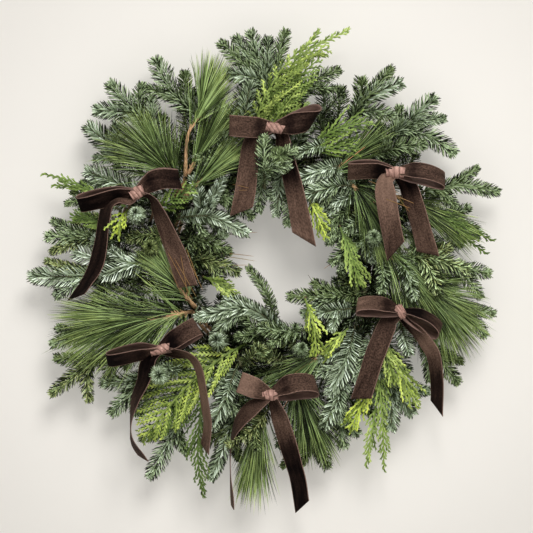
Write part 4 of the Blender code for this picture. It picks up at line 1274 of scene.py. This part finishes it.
class Paint:
    """A material being built: its nodes, and its shader at the end."""

    def __init__(self, name):
        self.material = bpy.data.materials.new(name)
        self.material.use_nodes = True
        self.tree = self.material.node_tree
        self.shader = self.tree.nodes["Principled BSDF"]

    def node(self, kind, **settings):
        node = self.tree.nodes.new("ShaderNode" + kind)
        for name, value in settings.items():
            setattr(node, name, value)
        return node

    def feed(self, socket, source):
        """Gives a socket a number, a colour or another node's output."""
        if isinstance(source, (int, float)):
            socket.default_value = source
        elif isinstance(source, tuple):
            socket.default_value = (*source, 1.0)
        else:
            self.tree.links.new(source, socket)

    def maths(self, operation, *sources):
        node = self.node("Math", operation=operation)
        for socket, source in zip(node.inputs, sources):
            self.feed(socket, source)
        return node.outputs[0]

    def ramp(self, factor, stops, smooth="LINEAR"):
        """Colours, or greys given as one number, along a factor: (place, colour) stops."""
        node = self.node("ValToRGB")
        node.color_ramp.interpolation = smooth
        elements = node.color_ramp.elements
        while len(elements) < len(stops):
            elements.new(0.5)
        for element, (place, colour) in zip(elements, stops):
            element.position = place
            element.color = (*colour, 1.0) if isinstance(colour, tuple) else (colour, colour, colour, 1.0)
        self.feed(node.inputs["Fac"], factor)
        return node.outputs["Color"]

    def mix(self, blend, factor, first, second):
        node = self.node("Mix", data_type="RGBA", blend_type=blend)
        for socket, source in ((0, factor), (6, first), (7, second)):
            self.feed(node.inputs[socket], source)
        return node.outputs[2]

    def times(self, first, second):
        return self.mix("MULTIPLY", 1.0, first, second)

    def noise(self, vector, scale, detail, stretch=(1, 1, 1)):
        mapping = self.node("Mapping")
        mapping.inputs["Scale"].default_value = stretch
        self.feed(mapping.inputs["Vector"], vector)
        noise = self.node("TexNoise")
        self.feed(noise.inputs["Scale"], scale)
        self.feed(noise.inputs["Detail"], detail)
        self.feed(noise.inputs["Vector"], mapping.outputs[0])
        return noise.outputs["Fac"]

    def layer(self, name):
        """A texture layer: its vector and its two parts."""
        vector = self.node("UVMap", uv_map=name).outputs["UV"]
        split = self.node("SeparateXYZ")
        self.feed(split.inputs[0], vector)
        return vector, split.outputs["X"], split.outputs["Y"]

    def leaf_places(self):
        """Where a point lies on its leaf: the palette column's number, the place across it and along it."""
        _, across, way = self.layer("OFBake")
        scaled = self.maths("MULTIPLY", across, float(TEXTURE_COLUMNS))
        return self.maths("FLOOR", scaled), self.maths("FRACT", scaled), way

    def from_middle(self, across):
        return self.maths("ABSOLUTE", self.maths("SUBTRACT", across, .5))

    def bump(self, height, strength, distance):
        bump = self.node("Bump")
        self.feed(bump.inputs["Strength"], strength)
        self.feed(bump.inputs["Distance"], distance)
        self.feed(bump.inputs["Height"], height)
        self.feed(self.shader.inputs["Normal"], bump.outputs["Normal"])

    def finish(self, **sockets):
        """Feeds the shader's sockets, named with _ for each space, and hands over the material."""
        for name, source in sockets.items():
            self.feed(self.shader.inputs[name.replace("_", " ")], source)
        return self.material


def leaf_material(name, palette, shades, along, bands, vary, roughness, seed):
    """A leaf's colour comes from its palette column, its pale stomatal bands and its place along the leaf.

    The column also holds a shade level that darkens the leaf or paints it pale: painted shade and painted
    highlight where the sprig's shape sets it, and a random tone where it is drawn at random.
    """
    paint = Paint(name)
    column, across, way = paint.leaf_places()
    shade = paint.maths("DIVIDE", paint.maths("MODULO", column, float(SHADES)), SHADES - 1.0)
    tone = paint.maths("FLOOR", paint.maths("DIVIDE", column, float(SHADES)))
    colour = paint.ramp(paint.maths("DIVIDE", tone, TONES - 1.0), palette)
    # painted shade and highlight: the shade level scales the colour from near black to pale
    colour = paint.times(colour, paint.ramp(shade, shades))
    steady = paint.node("TexWhiteNoise", noise_dimensions="1D")
    paint.feed(steady.inputs["W"], paint.maths("ADD", column, seed))
    colour = paint.times(colour, paint.maths("MULTIPLY_ADD", steady.outputs["Value"], vary, 1 - vary / 2))
    colour = paint.times(colour, paint.ramp(way, along))
    from_middle = paint.from_middle(across)
    band = paint.ramp(from_middle, ((.03, 0.0), (.12, 1.0), (.26, 1.0), (.36, .15)))
    colour = paint.mix("ADD", bands, colour, paint.times(colour, band))
    paint.bump(from_middle, .35, .0004)
    rough = paint.maths("MULTIPLY_ADD", band, -.12, roughness)
    return paint.finish(Base_Color=colour, Roughness=rough, Specular_IOR_Level=.22)


def fir_material():
    palette = ((0.0, (.240, .286, .232)), (.22, (.188, .238, .166)), (.45, (.138, .185, .096)),
               (.68, (.090, .125, .050)), (.86, (.130, .150, .058)), (1.0, (.205, .268, .142)))
    shades = ((0.0, (.03, .036, .020)), (.33, (.22, .25, .16)), (.67, (1.22, 1.26, 1.08)),
              (1.0, (3.0, 2.9, 3.05)))
    along = ((0.0, (.40, .45, .34)), (.18, (.75, .79, .71)), (.6, 1.0), (.93, (1.15, 1.13, 1.1)),
             (1.0, (1.2, 1.1, .8)))
    return leaf_material("fir_needles", palette, shades, along, .35, .3, .5, 3.0)


def pine_material():
    palette = ((0.0, (.210, .300, .090)), (.35, (.132, .192, .058)), (.6, (.082, .126, .038)),
               (.85, (.040, .066, .020)), (1.0, (.270, .150, .060)))
    shades = ((0.0, (.05, .06, .04)), (.33, (.30, .32, .24)), (.67, (1.12, 1.12, 1.08)),
              (1.0, (3.1, 2.85, 3.6)))
    along = ((0.0, (.8, .85, .6)), (.2, (.9, .95, .85)), (.7, 1.0), (1.0, (1.3, 1.2, .9)))
    return leaf_material("pine_needles", palette, shades, along, .3, .35, .4, 11.0)


def cedar_material():
    palette = ((0.0, (.055, .085, .020)), (.35, (.082, .135, .030)), (.65, (.165, .248, .060)),
               (.82, (.245, .325, .088)), (1.0, (.360, .460, .070)))
    shades = ((0.0, (.10, .12, .07)), (.33, (.42, .46, .34)), (.67, (1.05, 1.05, 1.0)),
              (1.0, (1.85, 1.72, 1.9)))
    along = ((0.0, (.45, .5, .4)), (.35, (.9, .92, .85)), (.85, (1.1, 1.07, 1.0)), (1.0, (1.2, 1.1, .85)))
    return leaf_material("cedar_scales", palette, shades, along, .25, .3, .5, 23.0)


def bark_material(name, dark, light, roughness):
    """Bark and sheaths, flecked along the twig."""
    paint = Paint(name)
    column, across, way = paint.leaf_places()
    place = paint.node("CombineXYZ")
    paint.feed(place.inputs[0], paint.maths("ADD", column, across))
    paint.feed(place.inputs[1], paint.maths("MULTIPLY", way, 9.0))
    flecks = paint.noise(place.outputs[0], 3.2, 5.0)
    paint.bump(flecks, .8, .0012)
    rough = paint.maths("MULTIPLY_ADD", flecks, .25, roughness)
    return paint.finish(Base_Color=paint.ramp(flecks, ((.32, dark), (.62, light))), Roughness=rough)


WOVEN_EDGE = (.465, .48075)


def velvet_material():
    """Dark brown velvet: painted light and shade along each ribbon, soft crush marks and paler woven edges."""
    paint = Paint("ribbon_velvet")
    vector, across, _ = paint.layer("Ribbon")
    nap = paint.layer("Nap")[1]
    crush = paint.noise(vector, 2.2, 3.0, (1.6, .45, 1.0))
    pile = paint.noise(vector, 14.0, 2.0)
    # painted light and shade: the ribbon's lit and shaded places, moved up and down by the crush marks
    light_and_crush = paint.maths("ADD", nap, paint.maths("MULTIPLY_ADD", crush, .6, -.32))
    base = paint.ramp(light_and_crush, ((.04, (.0026, .0009, .0009)), (.25, (.020, .0105, .0080)),
                            (.6, (.094, .056, .041)), (.95, (.225, .140, .104))))
    rough_pile = paint.ramp(nap, ((.5, 1.0), (.9, .42)))
    base = paint.mix("MULTIPLY", rough_pile, base, paint.ramp(pile, ((.34, .46), (.66, 1.56))))
    edge = paint.ramp(paint.from_middle(across), ((WOVEN_EDGE[0], 0.0), (WOVEN_EDGE[1], 1.0)))
    edge = paint.maths("MULTIPLY", edge, paint.maths("MULTIPLY", pile, 1.5))
    base = paint.mix("MIX", edge, base, (.330, .205, .160))
    paint.bump(paint.maths("MULTIPLY_ADD", edge, 1.5, pile), .35, .0006)
    rough = paint.maths("MULTIPLY_ADD", pile, .2, .72)
    return paint.finish(Base_Color=base, Roughness=rough, Sheen_Weight=.07, Sheen_Roughness=.35,
                        Sheen_Tint=(.62, .48, .40), Specular_IOR_Level=.06)


def satin_material(name, colours, creased=False):
    """The ribbon's smooth reverse, which shows inside the loops and where it is wrapped round the knot.

    Its soft folds are painted lighter and darker, and on the knot its creases get painted shade.
    """
    paint = Paint(name)
    vector, _, _ = paint.layer("Ribbon")
    # painted light and shade: soft folds painted as lighter and darker patches
    fold_shading = paint.noise(vector, 3.0, 3.0, (1.8, .5, 1.0))
    weave = paint.noise(vector, 60.0, 1.0, (1.0, 2.5, 1.0))
    base = paint.ramp(fold_shading, tuple(zip((.3, .55, .75), colours)))
    base = paint.times(base, paint.ramp(weave, ((.3, .85), (.7, 1.15))))
    if creased:
        # painted shade: the knot's creases are painted darker and its crowns a little lighter
        knot_crease_shade = paint.ramp(paint.layer("Nap")[1], ((.1, .22), (.6, .9), (1.0, 1.14)))
        base = paint.times(base, knot_crease_shade)
    paint.bump(weave, .3, .0005)
    rough = paint.maths("MULTIPLY_ADD", weave, .2, .5)
    return paint.finish(Base_Color=base, Roughness=rough, Sheen_Weight=.2, Sheen_Roughness=.4,
                        Sheen_Tint=(.80, .58, .50), Specular_IOR_Level=.3)


def enamel_material():
    """Green enamel on the frame's wire, dulled and nicked here and there."""
    paint = Paint("frame_enamel")
    place = paint.node("TexCoord").outputs["Object"]
    mottle = paint.noise(place, 160.0, 4.0)
    worn = paint.ramp(paint.noise(place, 700.0, 3.0), ((.66, 0.0), (.72, 1.0)))
    colour = paint.ramp(mottle, ((.3, (.020, .060, .030)), (.7, (.050, .115, .060))))
    paint.bump(mottle, .25, .0003)
    return paint.finish(Base_Color=paint.mix("MIX", worn, colour, (.33, .31, .28)),
                        Roughness=paint.maths("MULTIPLY_ADD", mottle, .3, .22),
                        Metallic=paint.maths("MULTIPLY", worn, .9))


# ---------------------------------------------------------------- making the pieces


def make_sprig(sprig, grow, materials, stem_shape=(), free=FREE_FORWARD):
    """One sprig and its cut stem. It stands for the CAD node of its name, where there is one."""
    growth = Growth()
    rng = seeded(sprig.name)
    stem = stem_for(sprig)
    grow(growth, rng, sprig)
    add_stem(growth, rng, stem, *stem_shape)
    node = sprig.name if sprig.name in STEMS else None
    make_piece(sprig.name.replace("spray", "sprig"), growth, materials, node, free)


def make_dry_needles(materials):
    """Thin tan needles that have fallen across the ribbons and the edge of the opening."""
    growth = Growth()
    rng = seeded("dry_needles")
    count = len(DRY_NEEDLES)
    base, end = np.array(DRY_NEEDLES, float).transpose(1, 0, 2)
    length = np.sqrt(dot(end - base, end - base))[:, 0]
    face = OUT + rng.normal(0, .3, (count, 3))
    bend = -UPWARD * length[:, None] * .05
    column = columns_for(rng, count, 1.0, .02, .62, .1)
    width = np.full(count, DRY_WIDTH)
    add_blades(growth, base, unit(end - base), face, length, width, bend, column, rows=PINE_ROWS)
    make_piece("dry_needles", growth, materials, cleared=False)


# rings of short shoots: how many, the radius where they start and end, how far forward, how much they bend,
# their half width and how much painted shade darkens them as the deep layer behind the sprays
Ring = namedtuple("Ring", "count start end forward turn half_width dim")
RINGS = (
    Ring(26, 108, 80, 36, .7, 12.0, .40),
    Ring(36, 112, 98, 40, .8, 13.0, .42),
    Ring(30, 120, 118, 34, .8, 14.0, .46),
    Ring(40, 128, 138, 42, .8, 14.0, .42),
    Ring(44, 142, 182, 36, .5, 14.5, .32),
    Ring(64, 158, 216, 30, .3, 14.5, .14),
)
UNDERGROWTH_PIECES = 8
UNDERGROWTH_DENSITY = 3.0
UNDERGROWTH_START = 12
SHORT_REACH = (42, 60)
SHORT_TONES = (.25, .75)


def make_undergrowth(materials):
    """Short fir shoots all round the frame, which fill the wreath behind the larger sprays."""
    rng = seeded("undergrowth")
    growths = [Growth() for _ in range(UNDERGROWTH_PIECES)]
    for ring in RINGS:
        style = Style(.05, UNDERGROWTH_DENSITY, ring.dim, PLAIN_ROWS, True)
        for index in range(ring.count):
            angle = index * 360 / ring.count + rng.uniform(-2, 2)
            reach = rng.uniform(*SHORT_REACH)
            start_radius = ring.start + rng.uniform(-4, 4)
            end_radius = ring.end + rng.uniform(-9, 9)
            hand = 1 if rng.random() < .5 else -1
            bend = hand * math.degrees(reach / start_radius) * ring.turn
            forward = ring.forward + rng.uniform(-6, 6)
            start = ring_spot(start_radius, angle, UNDERGROWTH_START)
            middle = ring_spot((start_radius + end_radius) / 2, angle + bend * .5, forward * .8)
            tip = ring_spot(end_radius, angle + bend, forward)
            line = Line(smooth_run((start, middle, tip)))
            width = ring.half_width + rng.uniform(-1.5, 1.5)
            growth = growths[index * UNDERGROWTH_PIECES // ring.count]
            add_fir_shoot(growth, rng, line, width, rng.uniform(*SHORT_TONES), style)
    for number, growth in enumerate(growths, 1):
        make_piece(f"fir_undergrowth_{number}", growth, materials)


def make_firs():
    materials = [fir_material(), bark_material("fir_bark", (.060, .068, .028), (.160, .155, .075), .6)]
    for fir in SPRAY_FIRS + MORE_FIRS:
        make_sprig(fir, grow_fir, materials)
    for rosette in ROSETTES:
        make_sprig(rosette, grow_rosette, materials)
    make_undergrowth(materials)


def make_pines():
    materials = [pine_material(), bark_material("pine_bark", (.330, .165, .066), (.900, .580, .310), .55)]
    for pine in SPRAY_PINES + MORE_PINES:
        free = min(pine.ceiling - FORWARD_ROOM, FREE_FORWARD)
        make_sprig(pine, grow_pine, materials, (PINE_TWIG[0], 20, .2), free)
    make_dry_needles(materials)


def make_cedars():
    materials = [cedar_material(), bark_material("cedar_bark", (.070, .040, .020), (.230, .140, .070), .6)]
    for cedar in SPRAY_CEDARS + MORE_CEDARS:
        make_sprig(cedar, grow_cedar, materials, (1.2,))


def make_bows():
    reverse = satin_material("ribbon_reverse", ((.100, .058, .046), (.185, .110, .088), (.290, .180, .145)))
    knot = satin_material("ribbon_knot", ((.240, .130, .104), (.450, .262, .214), (.640, .395, .328)), True)
    materials = [velvet_material(), reverse, knot]
    for number, bow in enumerate(BOWS, 1):
        make_bow(number, bow, materials)


def finish_frame():
    """The rings, braces, binding wire and bow ties stay the CAD's own, in enamel."""
    material = enamel_material()
    for node in FRAME["nodes"].values():
        if not node.hide_render:
            for slot in node.material_slots:
                slot.material = material


# ---------------------------------------------------------------- wall, floor and light

WALL_GAP = 3.0
FLOOR_DROP = 1500.0
STAGE_HALF = 2600.0
GLOW_RANGE = (.24, .50)
FAR_GLOW = .10
NEAR_GLOW = .21


def stage_material(name, colour, one_sided):
    """Matt paint. A one-sided wall can't be seen from behind, so that the back of the wreath can.

    It glows a little, most of all behind the wreath: light that the room bounces back on to it."""
    paint = Paint(name)
    place = paint.node("TexCoord").outputs["Object"]
    mottle = paint.noise(place, 3.0, 2.0)
    base = paint.ramp(mottle, ((.3, tuple(part * .98 for part in colour)), (.7, colour)))
    paint.finish(Base_Color=base, Roughness=.85, Specular_IOR_Level=.1)
    if one_sided:
        gap = paint.node("VectorMath", operation="DISTANCE")
        paint.feed(gap.inputs[0], paint.node("NewGeometry").outputs["Position"])
        gap.inputs[1].default_value = tuple(CENTRE)
        near = paint.ramp(gap.outputs["Value"], ((GLOW_RANGE[0], 1.0), (GLOW_RANGE[1], 0.0)), "EASE")
        glow = paint.maths("MULTIPLY_ADD", near, NEAR_GLOW, FAR_GLOW)
        paint.finish(Emission_Color=base, Emission_Strength=glow)
        choose = paint.node("MixShader")
        paint.feed(choose.inputs[0], paint.node("NewGeometry").outputs["Backfacing"])
        paint.feed(choose.inputs[1], paint.shader.outputs[0])
        paint.feed(choose.inputs[2], paint.node("BsdfTransparent").outputs[0])
        paint.feed(paint.tree.nodes["Material Output"].inputs["Surface"], choose.outputs[0])
    return paint.material


def add_sheet(name, corners, material):
    sheet = add_mesh(name, np.array(corners), np.array(((0, 1, 2, 3),)), (0,), {}, [material])
    return sheet


def add_stage():
    half, back, low = STAGE_HALF, -WALL_GAP, -FLOOR_DROP
    wall = add_sheet("wall", ((-half, low, back), (half, low, back), (half, half, back), (-half, half, back)),
                     stage_material("wall_paint", (.71, .69, .655), True))
    wall.visible_shadow = False
    front = 2 * half
    add_sheet("floor", ((-half, low, back), (-half, low, front), (half, low, front), (half, low, back)),
              stage_material("floor_paint", (.78, .77, .75), False))


def add_light(name, place, size, power, colour):
    """A square soft light that aims at the wreath."""
    data = bpy.data.lights.new(name, "AREA")
    data.shape = "SQUARE"
    data.size = size
    data.energy = power
    data.color = colour
    light = add_object(name, data)
    light.location = Vector(world(place))
    aim = Vector(world((0, 0, 20))) - light.location
    light.rotation_euler = aim.to_track_quat("-Z", "Y").to_euler()


def add_lights():
    add_light("key", (900, 2900, 3300), 2.2, 152, (1.0, .985, .96))
    add_light("back", (900, 800, -2400), 1.6, 24, (1.0, .99, .97))
    room = bpy.data.worlds.new("room")
    room.use_nodes = True
    shade = room.node_tree.nodes["Background"]
    shade.inputs["Color"].default_value = (.985, .975, .96, 1.0)
    shade.inputs["Strength"].default_value = .46
    bpy.context.scene.world = room


bpy.context.scene.view_settings.view_transform = "Standard"
plan_stems()
make_bows()
make_firs()
make_pines()
make_cedars()
finish_frame()
add_stage()
add_lights()
